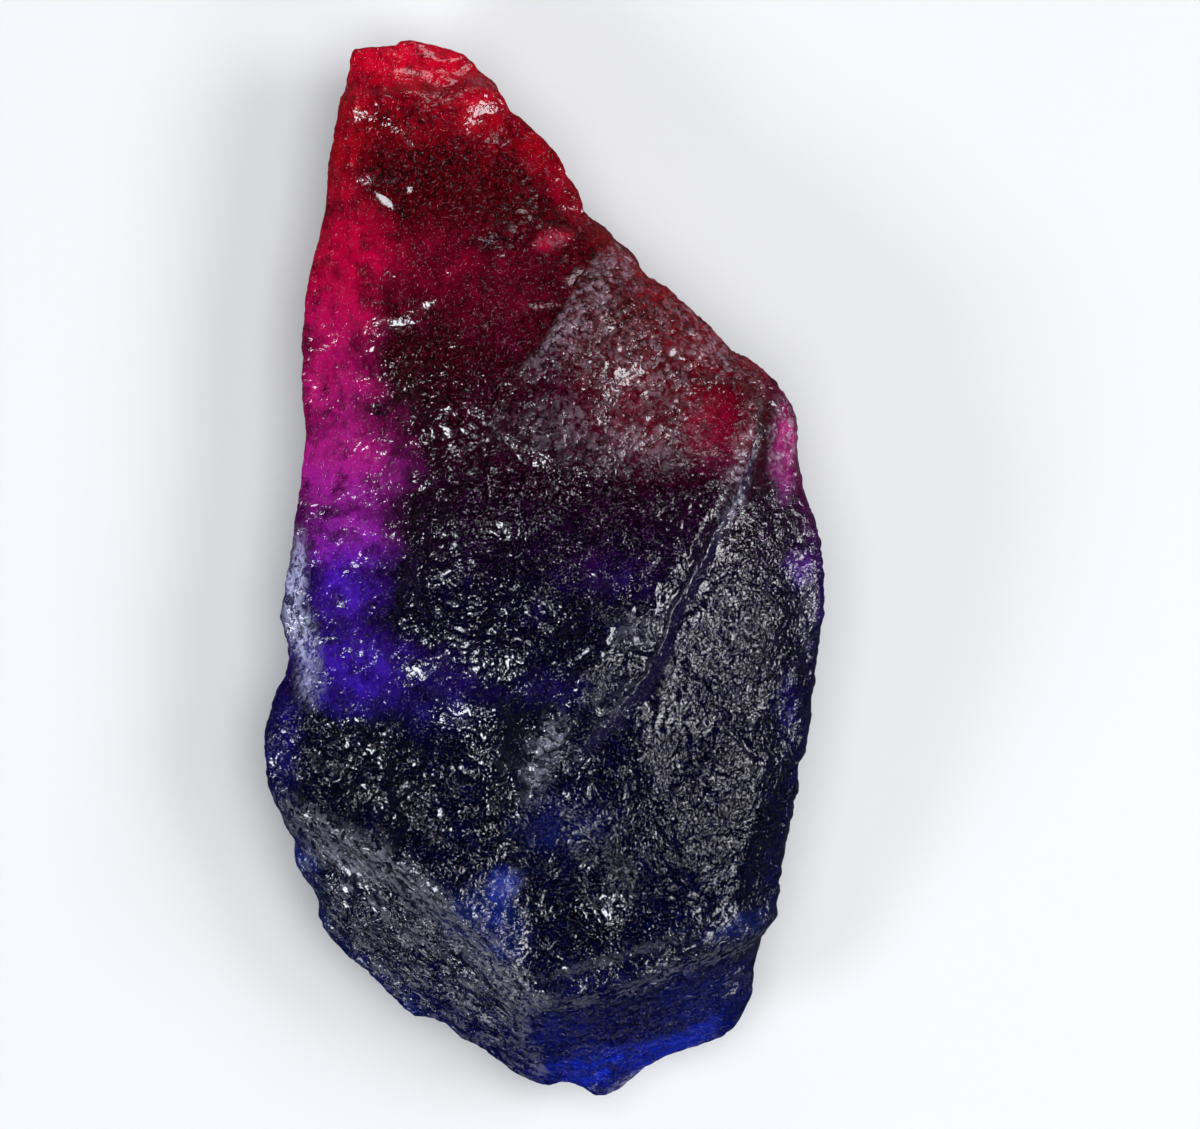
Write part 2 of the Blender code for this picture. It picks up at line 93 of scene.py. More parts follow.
CREASES = [
    # the crest, from the right shoulder down to the nose of the dark face
    [(783, 404, 17.4), (748, 434, 21.6), (722, 492, 24.4), (688, 548, 26.6),
     (642, 592, 27.9), (610, 622, 28.5), (597, 655, 28.6), (573, 694, 28.3),
     (547, 727, 27.4), (535, 756, 26.2), (531, 800, 24.0)],
    # the foot of the crest's right slope, along the groove
    [(764, 436, 20.4), (746, 468, 22.2), (736, 499, 23.1), (703, 561, 25.3),
     (680, 606, 26.6), (660, 650, 27.0), (632, 697, 26.8), (592, 741, 26.2),
     (570, 768, 25.4), (556, 800, 23.8)],
    # the lower left ridge, and the shelf below it
    [(284, 806, 12.6), (306, 813, 14.4), (344, 830, 16.9), (398, 860, 19.2),
     (448, 896, 20.4), (494, 942, 20.2), (523, 988, 19.2)],
    [(296, 834, 12.0), (338, 855, 14.2), (392, 888, 16.2), (440, 930, 17.0),
     (486, 984, 16.4)],
    # the ridge over the lower right face, and the corner below both ridges
    [(523, 988, 19.2), (560, 992, 19.3), (600, 985, 19.7), (650, 966, 19.8),
     (700, 949, 19.2), (745, 932, 17.4), (770, 919, 15.4)],
    [(523, 988, 19.2), (526, 1032, 14.9), (541, 1075, 10.6)],
    # the step across the tip: its foot and its brow
    [(352, 92, 12.4), (380, 88, 13.2), (410, 86, 13.6), (446, 90, 13.8), (478, 82, 13.6)],
    [(350, 104, 13.0), (378, 99, 14.6), (410, 96, 15.4), (446, 100, 15.6), (484, 94, 14.8)],
    # the edge of the sheen face on the right shoulder, which stands proud
    [(612, 258, 16.8), (586, 282, 19.4), (566, 306, 21.0), (552, 342, 22.2), (545, 380, 23.0)],
    [(620, 262, 17.6), (594, 288, 20.6), (575, 311, 22.2), (561, 346, 23.2), (553, 384, 23.6)],
    [(634, 290, 18.6), (690, 348, 19.6), (750, 396, 19.2)],
    # the fold where the thin left edge starts
    [(346, 160, 13.2), (352, 230, 13.9), (346, 300, 13.9), (350, 400, 14.2),
     (362, 480, 14.8), (366, 560, 15.2), (370, 640, 15.8), (352, 700, 15.6),
     (326, 760, 14.6)],
]

RELIEF = [
    # the thin tip
    (392, 62, 12.8), (440, 66, 13.2), (372, 74, 12.7),
    # the red face
    (395, 150, 15.9), (450, 150, 17.0), (510, 152, 15.8), (400, 215, 16.1),
    (455, 215, 18.1), (520, 215, 18.2), (560, 208, 16.6), (395, 300, 16.9),
    (450, 305, 19.7), (505, 300, 20.9), (560, 250, 19.2), (600, 245, 16.6),
    # the sheen face
    (618, 335, 21.6), (655, 360, 21.2), (605, 410, 23.8), (660, 430, 23.2),
    (705, 420, 22.0), (690, 480, 24.6), (640, 500, 25.4),
    # the pink corner and the wall below it
    (780, 440, 18.2), (788, 480, 18.4), (798, 530, 19.0),
    # the right face
    (784, 570, 21.0), (766, 620, 22.8), (780, 680, 21.4), (728, 690, 24.4),
    (735, 730, 23.6), (758, 768, 21.8), (700, 770, 24.6), (655, 776, 25.4),
    (616, 816, 24.8), (745, 840, 21.0), (690, 850, 22.8), (636, 866, 23.0),
    (728, 890, 19.4), (672, 912, 20.2),
    # the dark middle, steeper on its left and nearly level on its right
    (400, 400, 17.0), (450, 400, 20.3), (500, 400, 22.3), (404, 500, 17.3),
    (450, 500, 20.5), (500, 500, 22.7), (560, 500, 24.0), (610, 500, 24.8),
    (405, 600, 17.9), (450, 600, 21.0), (500, 600, 23.6), (560, 600, 25.9),
    (400, 700, 18.5), (450, 700, 21.0), (500, 700, 23.2), (536, 690, 25.4),
    (400, 760, 18.6), (450, 760, 20.6), (498, 770, 22.2),
    # the lower left face, which is cupped
    (300, 770, 13.4), (350, 795, 15.2), (390, 820, 17.4), (430, 830, 19.6),
    (480, 850, 20.8),
    # the hollow above the meeting of the three lower faces
    (512, 890, 19.5), (548, 880, 19.1), (580, 905, 17.8), (600, 880, 20.2),
    (545, 930, 18.6), (572, 948, 19.0), (620, 935, 19.0), (540, 965, 18.6),
    # the lower left band
    (332, 890, 13.0), (372, 930, 13.6), (420, 970, 13.8), (468, 1010, 13.4),
    (508, 1046, 12.0),
    # the lower right face
    (560, 1052, 12.2), (604, 1040, 13.2), (660, 1018, 14.0), (712, 985, 15.0),
    (740, 960, 14.6), (600, 1074, 10.6),
]

UNDERSIDE = [
    (420, 100, 7.2), (395, 180, 5.4), (480, 170, 5.0), (345, 300, 6.0), (540, 230, 4.0),
    (400, 260, 2.6), (470, 250, 1.6), (640, 330, 3.0), (740, 430, 3.2), (335, 450, 5.4),
    (325, 600, 5.6), (312, 720, 5.6), (775, 560, 2.6), (772, 700, 2.2), (752, 850, 2.8),
    (712, 950, 3.6), (640, 1020, 4.0), (560, 1025, 4.0), (470, 985, 3.6),
    (385, 915, 3.8), (325, 835, 4.8), (440, 310, -0.5), (560, 320, -0.6),
    (660, 420, -0.7), (735, 600, -0.6), (735, 740, -0.7), (700, 860, -0.6),
    (620, 930, -0.5), (520, 930, -0.6), (430, 860, -0.6), (370, 760, -0.4),
    (380, 620, -0.5), (378, 480, -0.5), (400, 380, -0.5), (520, 480, -1.8),
    (600, 640, -2.0), (520, 780, -1.8),
]


# ---------------------------------------------------------------- noise, in mm
def _hash(ix, iy, iz, seed):
    h = (
        ix.astype(np.int64) * 73856093
        ^ iy.astype(np.int64) * 19349663
        ^ iz.astype(np.int64) * 83492791
        ^ (seed * 2654435761 + 97)
    ) & 0xFFFFFFFF
    h ^= h >> 15
    h = (h * 2246822519) & 0xFFFFFFFF
    h ^= h >> 13
    h = (h * 3266489917) & 0xFFFFFFFF
    h ^= h >> 16
    return h


def _unit(h):
    return h.astype(np.float64) / 4294967295.0


def perlin(p, seed=0):
    """Gradient noise, about -0.9 to 0.9, of points (n, 3)."""
    base = np.floor(p)
    f = p - base
    i = base.astype(np.int64)
    u = f * f * f * (f * (f * 6 - 15) + 10)
    total = np.zeros(len(p))
    for dx in (0, 1):
        for dy in (0, 1):
            for dz in (0, 1):
                h = _hash(i[:, 0] + dx, i[:, 1] + dy, i[:, 2] + dz, seed)
                a = _unit(h) * 2 * math.pi
                z = _unit((h * 747796405 + 2891336453) & 0xFFFFFFFF) * 2 - 1
                r = np.sqrt(np.maximum(0, 1 - z * z))
                g = (
                    (f[:, 0] - dx) * np.cos(a) * r
                    + (f[:, 1] - dy) * np.sin(a) * r
                    + (f[:, 2] - dz) * z
                )
                w = (
                    (u[:, 0] if dx else 1 - u[:, 0])
                    * (u[:, 1] if dy else 1 - u[:, 1])
                    * (u[:, 2] if dz else 1 - u[:, 2])
                )
                total += w * g
    return total * 1.5


def fbm(p, size, octaves=3, seed=0, gain=0.5):
    total, amp, norm = np.zeros(len(p)), 1.0, 0.0
    for k in range(octaves):
        total += amp * perlin(p / size * 2**k + 31.7 * k, seed + k)
        norm += amp
        amp *= gain
    return total / norm


def warp(p, size, amount, seed):
    return p + amount * np.column_stack([perlin(p / size + 11.3 * k, seed + k) for k in range(3)])


def ridge(p, size, seed):
    """Noise whose zero lines are sharp crests: 1 on them, down to about 0."""
    return 1 - np.minimum(1, np.abs(perlin(p / size, seed)) * 2.4)


def chips(p, size, seed, tilt=0.5):
    """The lower hull of tilted planes, one to a cell: cupped facets with sharp rims, in units of size."""
    q = p / size
    base = np.floor(q).astype(np.int64)
    best = np.full(len(q), 1e9)
    for dx in (-1, 0, 1):
        for dy in (-1, 0, 1):
            for dz in (-1, 0, 1):
                h = _hash(base[:, 0] + dx, base[:, 1] + dy, base[:, 2] + dz, seed)
                r = [
                    _unit((h * k + 12345 * k) & 0xFFFFFFFF)
                    for k in (1, 747796405, 277803737, 1597334677, 3812015801, 2654435761)
                ]
                d = q - (base + np.array((dx, dy, dz)) + np.column_stack(r[:3]))
                t = (np.column_stack(r[3:6]) - 0.5) * 2 * tilt
                plane = 0.62 * (d * d).sum(1) + (d * t).sum(1)
                best = np.minimum(best, plane)
    return best


def pebbles(p, size, seed):
    """Domes that meet in sharp valleys: the distance to the nearest of scattered points, in units of size."""
    q = p / size
    base = np.floor(q).astype(np.int64)
    best = np.full(len(q), 9.0)
    for dx in (-1, 0, 1):
        for dy in (-1, 0, 1):
            for dz in (-1, 0, 1):
                h = _hash(base[:, 0] + dx, base[:, 1] + dy, base[:, 2] + dz, seed)
                r = [_unit((h * k + 12345 * k) & 0xFFFFFFFF) for k in (1, 747796405, 277803737)]
                d = q - (base + np.array((dx, dy, dz)) + np.column_stack(r))
                best = np.minimum(best, (d * d).sum(1))
    return best


# ---------------------------------------------------------------- the broken faces
def to_mm(x, y):
    return (x - SHEET_CENTRE[0]) * UNIT, (SHEET_CENTRE[1] - y) * UNIT


def to_sheet(x, y):
    return x / UNIT + SHEET_CENTRE[0], SHEET_CENTRE[1] - y / UNIT


def broken_faces(lines, points):
    """The height of planes that meet along the lines, as a function of arrays of places."""
    corners, heights, edges = [], [], []
    for line in lines:
        start = len(corners)
        corners += [Vector(p[:2]) for p in line]
        heights += [p[2] for p in line]
        edges += [(start + i, start + i + 1) for i in range(len(line) - 1)]
    corners += [Vector(p[:2]) for p in points]
    heights += [p[2] for p in points]
    found = delaunay_2d_cdt(corners, edges, [], 0, 1e-5)
    spots = np.array([tuple(p) for p in found[0]])
    level = np.array([np.mean([heights[o] for o in g]) if g else np.nan for g in found[3]])
    for k in np.flatnonzero(np.isnan(level)):
        near = np.argsort(((spots - spots[k]) ** 2).sum(1))
        level[k] = level[[j for j in near if not np.isnan(level[j])][:2]].mean()
    triangles = np.array(found[2])

    def height(x, y):
        result = np.full(x.shape, np.nan)
        for i, j, k in triangles:
            (ax, ay), (bx, by), (cx, cy) = spots[i], spots[j], spots[k]
            area = (bx - ax) * (cy - ay) - (cx - ax) * (by - ay)
            if abs(area) < 1e-9:
                continue
            near = np.flatnonzero(
                (x >= min(ax, bx, cx) - 1e-6) & (x <= max(ax, bx, cx) + 1e-6)
                & (y >= min(ay, by, cy) - 1e-6) & (y <= max(ay, by, cy) + 1e-6)
            )
            px, py = x[near], y[near]
            u = ((px - ax) * (cy - ay) - (cx - ax) * (py - ay)) / area
            v = ((bx - ax) * (py - ay) - (px - ax) * (by - ay)) / area
            hit = (u >= -1e-6) & (v >= -1e-6) & (u + v <= 1 + 1e-6)
            result[near[hit]] = (
                level[i] + u * (level[j] - level[i]) + v * (level[k] - level[i])
            )[hit]
        return result

    return height


def worn(height, x, y, reach):
    total = 2.0 * height(x, y)
    count = np.full(x.shape, 2.0)
    lost = np.isnan(total)
    total[lost], count[lost] = 0.0, 1e-9
    for radius, spokes in ((0.5 * reach, 6), (reach, 10)):
        for k in range(spokes):
            turn = 2 * math.pi * (k + 0.3 * (spokes == 10)) / spokes
            near = height(x + radius * math.cos(turn), y + radius * math.sin(turn))
            good = ~np.isnan(near)
            total[good] += near[good]
            count[good] += 1
    return total / count


def along_line(line, x, y):
    """Distance in mm from places to a sheet line, and which side of it they are on (+ is left of its run)."""
    best, side = np.full(x.shape, 1e9), np.zeros(x.shape)
    points = [to_mm(*p[:2]) for p in line]
    for (ax, ay), (bx, by) in zip(points, points[1:]):
        dx, dy = bx - ax, by - ay
        t = np.clip(((x - ax) * dx + (y - ay) * dy) / (dx * dx + dy * dy), 0, 1)
        ox, oy = x - ax - t * dx, y - ay - t * dy
        d = np.hypot(ox, oy)
        nearer = d < best
        best[nearer] = d[nearer]
        side[nearer] = np.sign(dx * oy - dy * ox)[nearer]
    return best, side


# the outline, evenly spaced and a little crinkled
corners = np.array([to_mm(*p) for p in OUTLINE])
closed = np.vstack([corners, corners[:1]])
run = np.concatenate([[0], np.cumsum(np.hypot(*np.diff(closed, axis=0).T))])
ring_count = int(run[-1] / RING_STEP)
spaced = np.arange(ring_count) * run[-1] / ring_count
ring = np.column_stack([np.interp(spaced, run, closed[:, k]) for k in (0, 1)])
ring_run = spaced


def turned(points, reach):
    """Outward directions along the ring."""
    ahead, behind = np.roll(points, -reach, axis=0), np.roll(points, reach, axis=0)
    along = ahead - behind
    along /= np.linalg.norm(along, axis=1)[:, None]
    return np.column_stack([-along[:, 1], along[:, 0]])  # the outline runs clockwise


outward = turned(ring, 5)
flat3 = np.column_stack([ring, np.zeros(ring_count)])
ring += outward * (
    0.06 * fbm(flat3, 2.4, 3, 301) + 0.05 * ridge(flat3, 0.9, 305) - 0.06
)[:, None]
outward = turned(ring, 8)

stations = []
for sx, sy, high_rim, low_rim in EDGE:
    spot = np.array(to_mm(sx, sy))
    stations.append((ring_run[((ring - spot) ** 2).sum(1).argmin()], high_rim, low_rim))
stations.sort()
at, high_at, low_at = (np.array(c) for c in zip(*stations))
rim_high = np.interp(ring_run, at, high_at, period=run[-1])
rim_low = np.interp(ring_run, at, low_at, period=run[-1])
flat3 = np.column_stack([ring, np.zeros(ring_count)])
rim_high += 0.45 * fbm(flat3, 5.0, 3, 311)
rim_low = np.minimum(rim_low + 0.6 * fbm(flat3, 6.0, 3, 317), rim_high - 1.2)

upper = broken_faces(
    [[(*to_mm(x, y), h) for x, y, h in line] for line in CREASES],
    [(*to_mm(x, y), h) for x, y, h in RELIEF]
    + [(*ring[i], rim_high[i]) for i in range(0, ring_count, 5)],
)
under = broken_faces(
    [],
    [(*to_mm(x, y), h) for x, y, h in UNDERSIDE]
    + [(*ring[i], rim_low[i]) for i in range(0, ring_count, 5)],
)


# ---------------------------------------------------------------- the nets
def inside(points):
    found = np.zeros(len(points), bool)
    x, y = points[:, 0], points[:, 1]
    for (ax, ay), (bx, by) in zip(ring, np.roll(ring, -1, axis=0)):
        if ay == by:
            continue
        crosses = (ay > y) != (by > y)
        found ^= crosses & (x < ax + (y - ay) * (bx - ax) / (by - ay))
    return found


def edge_gap(points):
    """Distance to the ring and the index of its nearest point."""
    gap, which = np.full(len(points), 1e9), np.zeros(len(points), int)
    for start in range(0, len(points), 4000):
        part = points[start:start + 4000]
        d = ((part[:, None, :] - ring[None, :, :]) ** 2).sum(2)
        k = d.argmin(1)
        which[start:start + 4000] = k
        gap[start:start + 4000] = np.sqrt(d[np.arange(len(part)), k])
    return gap, which


def lattice(step, seed):
    low, high = ring.min(0), ring.max(0)
    rise = step * math.sqrt(3) / 2
    rows = np.arange(low[1], high[1], rise)
    columns = np.arange(low[0], high[0] + step, step)
    x = (columns[None, :] + 0.5 * step * (np.arange(len(rows)) % 2)[:, None]).ravel()
    y = np.repeat(rows, len(columns))
    p = np.column_stack([x, y])
    p3 = np.column_stack([p, np.zeros(len(p))]) / (step * 1.7)
    p += 0.3 * step * np.column_stack([perlin(p3, seed), perlin(p3 + 50, seed + 1)])
    return p[inside(p)]


def net(step, seed):
    p = lattice(step, seed)
    gap, _ = edge_gap(p)
    p = p[gap > 0.6 * max(RING_STEP, min(step, 0.4))]
    points = [Vector(q) for q in np.vstack([ring, p])]
    found = delaunay_2d_cdt(points, [], [list(range(ring_count))[::-1]], 1, 1e-7)
    keep = np.array([tuple(q) for q in found[0]])
    index = {o: k for k, g in enumerate(found[3]) for o in g}
    loop = np.array([index[i] for i in range(ring_count)])
    return keep, np.array(found[2]), loop


top_xy, top_tris, top_loop = net(NET_TOP, 5)
low_xy, low_tris, low_loop = net(NET_UNDER, 6)

top_gap, top_near = edge_gap(top_xy)
low_gap, low_near = edge_gap(low_xy)

crisp_z = worn(upper, top_xy[:, 0], top_xy[:, 1], 0.55)
soft_z = worn(upper, top_xy[:, 0], top_xy[:, 1], 1.9)
top_z = crisp_z.copy()
broad = np.clip(top_gap / 2.5, 0, 1)
p3 = np.column_stack([top_xy, np.zeros(len(top_xy))])
top_z += broad * (0.50 * fbm(p3, 9.0, 2, 11) + 0.14 * (ridge(p3, 5.0, 13) - 0.5))
edge_mix = np.clip(1 - top_gap / 0.5, 0, 1)
top_z = top_z * (1 - edge_mix) + rim_high[top_near] * edge_mix

low_z = worn(under, low_xy[:, 0], low_xy[:, 1], 1.4)
q3 = np.column_stack([low_xy, np.full(len(low_xy), 20.0)])
low_z += np.clip(low_gap / 2.5, 0, 1) * (0.5 * fbm(q3, 8.0, 3, 21) + 0.30 * (ridge(q3, 5.0, 23) - 0.5))
edge_mix = np.clip(1 - low_gap / 0.9, 0, 1)
low_z = low_z * (1 - edge_mix) + rim_low[low_near] * edge_mix
tall = (rim_high - rim_low)
draw = (0.10 * tall[low_near] + 0.25) * np.clip(1 - low_gap / DRAW_REACH, 0, 1)
low_xy = low_xy - outward[low_near] * draw[:, None]

# all vertices: the upper face, the underside, then the rows of the side
spots = [np.column_stack([top_xy, top_z]), np.column_stack([low_xy, low_z])]
triangles = [top_tris, low_tris + len(top_xy)]
loops = [top_loop]
count = len(top_xy) + len(low_xy)
rim3 = np.column_stack([ring, rim_high])
for row in range(1, SIDE_ROWS):
    t = 1 - row / SIDE_ROWS
    z = rim_low + t * tall
    swell = 0.045 * tall * math.sin(math.pi * t)
    wander = 0.05 * tall * fbm(np.column_stack([ring, z]), 4.2, 2, 41) * math.sin(math.pi * t)
    pull = (0.10 * tall + 0.25) * (1 - t) ** 1.6
    xy = ring + outward * (swell * 0.6 + wander - pull)[:, None]
    spots.append(np.column_stack([xy, z]))
    loops.append(np.arange(ring_count) + count)
    count += ring_count
loops.append(low_loop + len(top_xy))
for a, b in zip(loops, loops[1:]):
    a2, b2 = np.roll(a, -1), np.roll(b, -1)
    triangles.append(np.column_stack([a, a2, b2]))
    triangles.append(np.column_stack([a, b2, b]))
spots = np.vstack(spots)
triangles = np.vstack(triangles)


def normals_of(p, tris):
    n = np.cross(p[tris[:, 1]] - p[tris[:, 0]], p[tris[:, 2]] - p[tris[:, 0]])
    total = np.zeros_like(p)
    for k in range(3):
        np.add.at(total, tris[:, k], n)
    return total / np.maximum(1e-12, np.linalg.norm(total, axis=1))[:, None]


# every triangle faces out: the upper net up, the under net down, the side away
n = np.cross(
    spots[triangles[:, 1]] - spots[triangles[:, 0]], spots[triangles[:, 2]] - spots[triangles[:, 0]]
)
first, second = len(top_tris), len(top_tris) + len(low_tris)
if n[:first, 2].sum() < 0:
    triangles[:first] = triangles[:first, ::-1]
if n[first:second, 2].sum() > 0:
    triangles[first:second] = triangles[first:second, ::-1]
middle = spots[triangles[second:]].mean(1)
nearest = edge_gap(middle[:, :2])[1]
if (n[second:, :2] * outward[nearest]).sum() < 0:
    triangles[second:] = triangles[second:, ::-1]

# ---------------------------------------------------------------- zones of the surface
sx, sy = to_sheet(spots[:, 0], spots[:, 1])
is_top = np.zeros(len(spots), bool)
is_top[: len(top_xy)] = True


def zones(table, x=None, y=None, seed=61, ragged=0.35):
    """The strongest of soft oval zones: (x, y, half width, half height, turn in degrees, strength)."""
    x = sx if x is None else x
    y = sy if y is None else y
    p = np.column_stack([spots[:, :2], np.zeros(len(spots))])
    rough = ragged * (fbm(p, 4.0, 3, seed) + 0.5 * fbm(p, 1.6, 2, seed + 5))
    best = np.zeros(len(x))
    for cx, cy, rx, ry, turn, strength in table:
        c, s = math.cos(math.radians(turn)), math.sin(math.radians(turn))
        u = ((x - cx) * c + (y - cy) * s) / rx
        v = (-(x - cx) * s + (y - cy) * c) / ry
        r = np.sqrt(u * u + v * v) + rough
        best = np.maximum(best, strength * np.clip(1.5 - r, 0, 1) ** 1.3)
    return best


# painted light through the stone: the tip, the left edge and the windows are painted bright where light comes through
PAINTED_GLOW = [
    (410, 62, 80, 32, 0, 1.0), (352, 100, 24, 30, 0, 0.75), (480, 108, 34, 28, 40, 0.62),
    (545, 165, 18, 70, -38, 0.42), (344, 165, 24, 66, 8, 0.62), (346, 250, 52, 46, 0, 0.95),
    (334, 310, 46, 56, 0, 0.95), (330, 390, 42, 60, 0, 0.92), (340, 465, 60, 56, 0, 1.0),
    (345, 540, 48, 40, 0, 0.95), (345, 590, 40, 34, 0, 0.80), (360, 668, 60, 40, 10, 0.75),
    (420, 265, 70, 50, 0, 0.20), (400, 120, 60, 26, 0, 0.34), (500, 290, 60, 50, 0, 0.10),
    (712, 425, 32, 42, -20, 0.24), (692, 356, 44, 18, 40, 0.15), (645, 400, 80, 60, 0, 0.05),
    (552, 244, 18, 10, -20, 0.50), (782, 450, 13, 42, 0, 0.75), (798, 566, 14, 16, 0, 0.36),
    (785, 705, 12, 36, 0, 0.12), (503, 886, 14, 20, 20, 0.60), (494, 915, 22, 12, 40, 0.35),
    (594, 1070, 50, 20, -12, 0.68), (664, 1048, 56, 13, -25, 0.80), (700, 1000, 50, 30, -20, 0.12),
    (560, 1030, 40, 20, 0, 0.10),
    (610, 575, 40, 20, 0, 0.08), (545, 690, 40, 20, 0, 0.08), (735, 925, 30, 12, -20, 0.16),
    (430, 690, 60, 36, 0, 0.18), (560, 820, 44, 30, 0, 0.10), (285, 730, 16, 50, 0, 0.22),
    (300, 862, 16, 30, -30, 0.30), (490, 925, 40, 30, 30, 0.24),
]

# where the surface is frosted: finely lumpy, so that it catches light all over
FROST = [
    (600, 300, 44, 40, -40, 0.9), (585, 350, 30, 50, 20, 1.0), (660, 350, 70, 50, 40, 0.5),
    (745, 390, 40, 26, 45, 0.8), (738, 470, 16, 60, 14, 1.0), (640, 450, 70, 60, 0, 0.3),
    (560, 440, 70, 60, 0, 0.5), (490, 500, 60, 70, 0, 0.45), (575, 580, 60, 60, 0, 0.4),
    (775, 560, 40, 80, 0, 1.0), (740, 660, 60, 90, 0, 1.0), (700, 780, 90, 90, 0, 1.0),
    (640, 860, 90, 60, -20, 1.0), (640, 630, 34, 36, 0, 1.0), (606, 690, 34, 40, 30, 1.0),
    (560, 755, 34, 40, 20, 0.8), (350, 760, 70, 60, 0, 0.9), (430, 780, 60, 50, 0, 0.9),
    (400, 960, 110, 40, 42, 0.6), (490, 1040, 60, 40, 40, 0.6), (580, 950, 40, 24, 0, 0.9),
    (502, 892, 30, 36, 20, 0.9),
    (470, 84, 22, 12, 20, 0.8), (405, 114, 44, 16, 0, 0.6), (505, 248, 30, 12, 0, 0.7),
    (552, 246, 26, 14, -20, 0.8), (280, 740, 16, 60, 0, 0.7), (780, 470, 24, 60, 0, 0.9),
]

# where the broken surface is smooth: the thin edge, the red face and the foot
SMOOTH = [
    (410, 62, 80, 30, 0, 1.0), (440, 200, 120, 100, 0, 0.95), (440, 310, 110, 50, 0, 0.90),
    (500, 140, 60, 50, 40, 0.75),
    (340, 260, 60, 120, 0, 0.85), (330, 440, 56, 110, 0, 0.80), (345, 600, 50, 90, 0, 0.70),
    (370, 690, 60, 30, 0, 0.50), (620, 1050, 110, 50, -20, 0.85), (715, 985, 60, 50, 0, 0.60),
    (712, 420, 32, 42, -10, 0.80), (798, 570, 16, 26, 0, 0.60), (568, 900, 34, 40, 0, 0.80),
    (520, 170, 40, 60, -38, 0.9),
]

# where the broken surface is even, with no larger chips
EVEN = [
    (760, 600, 60, 120, 0, 1.0), (735, 680, 80, 110, 0, 1.0), (690, 810, 110, 100, 0, 1.0),
    (410, 62, 80, 30, 0, 0.8), (505, 892, 26, 34, 20, 0.8),
]

# where the chips are bold
BOLD = [(345, 755, 66, 50, 0, 1.0), (430, 775, 50, 40, 0, 0.8), (470, 860, 40, 30, 0, 0.5)]

# painted reflection: the streaked wedge on the left edge, painted white-blue
WEDGE = [(296, 585, 9, 44, 6, 1.0), (304, 640, 13, 34, -14, 1.0), (308, 680, 12, 24, -10, 0.6)]

# painted sheen: a paler colour on the pink corner, the nose, the bright edge and the shelf
PAINTED_SHEEN = [
    (782, 448, 14, 44, 0, 0.9), (480, 85, 18, 8, 25, 0.25), (551, 246, 12, 8, -20, 0.5),
    (546, 748, 14, 40, 18, 0.75), (345, 862, 34, 9, 28, 0.9),
    (640, 375, 60, 44, 35, 0.42), (700, 345, 60, 18, 40, 0.65), (640, 445, 60, 26, 0, 0.42),
    (737, 472, 12, 50, 14, 0.70), (560, 430, 50, 30, 0, 0.35),
    (510, 884, 10, 18, 25, 0.30), (648, 1074, 60, 6, -28, 0.8), (804, 600, 10, 60, 0, 0.15),
    (634, 630, 22, 18, 0, 0.18), (606, 690, 20, 30, 30, 0.12), (740, 455, 9, 60, 14, 0.4),
    (480, 1062, 60, 8, 40, 0.5),
]

# the two lower faces, whose relief is drawn out in streaks
STREAK_LEFT = [(400, 940, 120, 50, 40, 1.0), (490, 1030, 70, 44, 40, 1.0), (335, 862, 60, 26, 32, 0.8)]
STREAK_RIGHT = [(620, 1020, 110, 60, -20, 1.0), (720, 960, 60, 50, -25, 0.9), (590, 1065, 60, 30, 0, 0.8)]

# lines with a satin sheen, painted in fine lines and a little rougher: (line, half width in mm, strength)
SATIN = [
    ([(284, 812), (320, 830), (360, 850), (400, 876), (440, 908), (478, 942), (510, 978)], 1.7, 1.0),
    ([(528, 1000), (575, 1000), (626, 984), (668, 968), (710, 954), (750, 937), (770, 922)], 0.8, 0.6),
    ([(530, 978), (580, 966), (626, 952), (680, 934)], 0.5, 0.4),
    ([(524, 992), (526, 1032), (540, 1074)], 0.7, 0.6),
]

# the groove along the crest's right slope: a smooth floor under a short wall
GROOVE = [
    (758, 428), (752, 446), (746, 468), (736, 499), (721, 525), (703, 561), (692, 583),
    (680, 606), (669, 630), (660, 650), (652, 672), (632, 697), (609, 720), (592, 741),
    (573, 763),
]

# the ragged left edge of the sheen face
CLIFF = [(618, 236), (597, 262), (575, 293), (558, 326), (536, 352), (514, 386), (500, 410)]

# dark spots in the stone, painted shade in the lower hollow and a small pit by the tip, and painted white glints
DARK_SPOTS_AND_SHADE = [
    (325, 393, 7, 7, 0, 1.0), (326, 412, 6, 5, 0, 1.0), (381, 412, 9, 8, 0, 1.0),
    (404, 214, 12, 6, 30, 0.9), (756, 432, 6, 12, 0, 0.9), (500, 246, 26, 9, 0, 0.9),
    (405, 120, 44, 16, 0, 0.75), (440, 160, 60, 12, 8, 0.5), (400, 175, 40, 12, 0, 0.5),
    (375, 600, 16, 50, 0, 0.5), (582, 915, 28, 34, -20, 1.0), (535, 920, 18, 30, 0, 0.9),
]
PAINTED_GLINTS = [(386, 203, 12, 3.6, 42, 1.0), (410, 192, 3, 4, 0, 0.7)]

painted_glow = zones(PAINTED_GLOW, seed=61, ragged=0.35)
frost = zones(FROST, seed=71, ragged=0.45)
smooth = zones(SMOOTH, seed=75, ragged=0.40)
painted_sheen = zones(PAINTED_SHEEN, seed=77, ragged=0.50)
streak_l = zones(STREAK_LEFT, seed=81, ragged=0.25)
streak_r = zones(STREAK_RIGHT, seed=83, ragged=0.25)
dark_spots_and_shade = zones(DARK_SPOTS_AND_SHADE, seed=85, ragged=0.60)
painted_glint = zones(PAINTED_GLINTS, seed=87, ragged=0.35)
even = zones(EVEN, seed=89, ragged=0.2) * is_top
bold = zones(BOLD, seed=91, ragged=0.3)
wedge = zones(WEDGE, seed=93, ragged=0.3)

# places that wander a little, so that no drawn line runs true
wander = warp(spots, 3.0, 0.45, 201)
satin = np.zeros(len(spots))
for line, half_width, strength in SATIN:
    d, _ = along_line(line, wander[:, 0], wander[:, 1])
    satin = np.maximum(satin, strength * np.clip(1.4 - d / half_width, 0, 1))
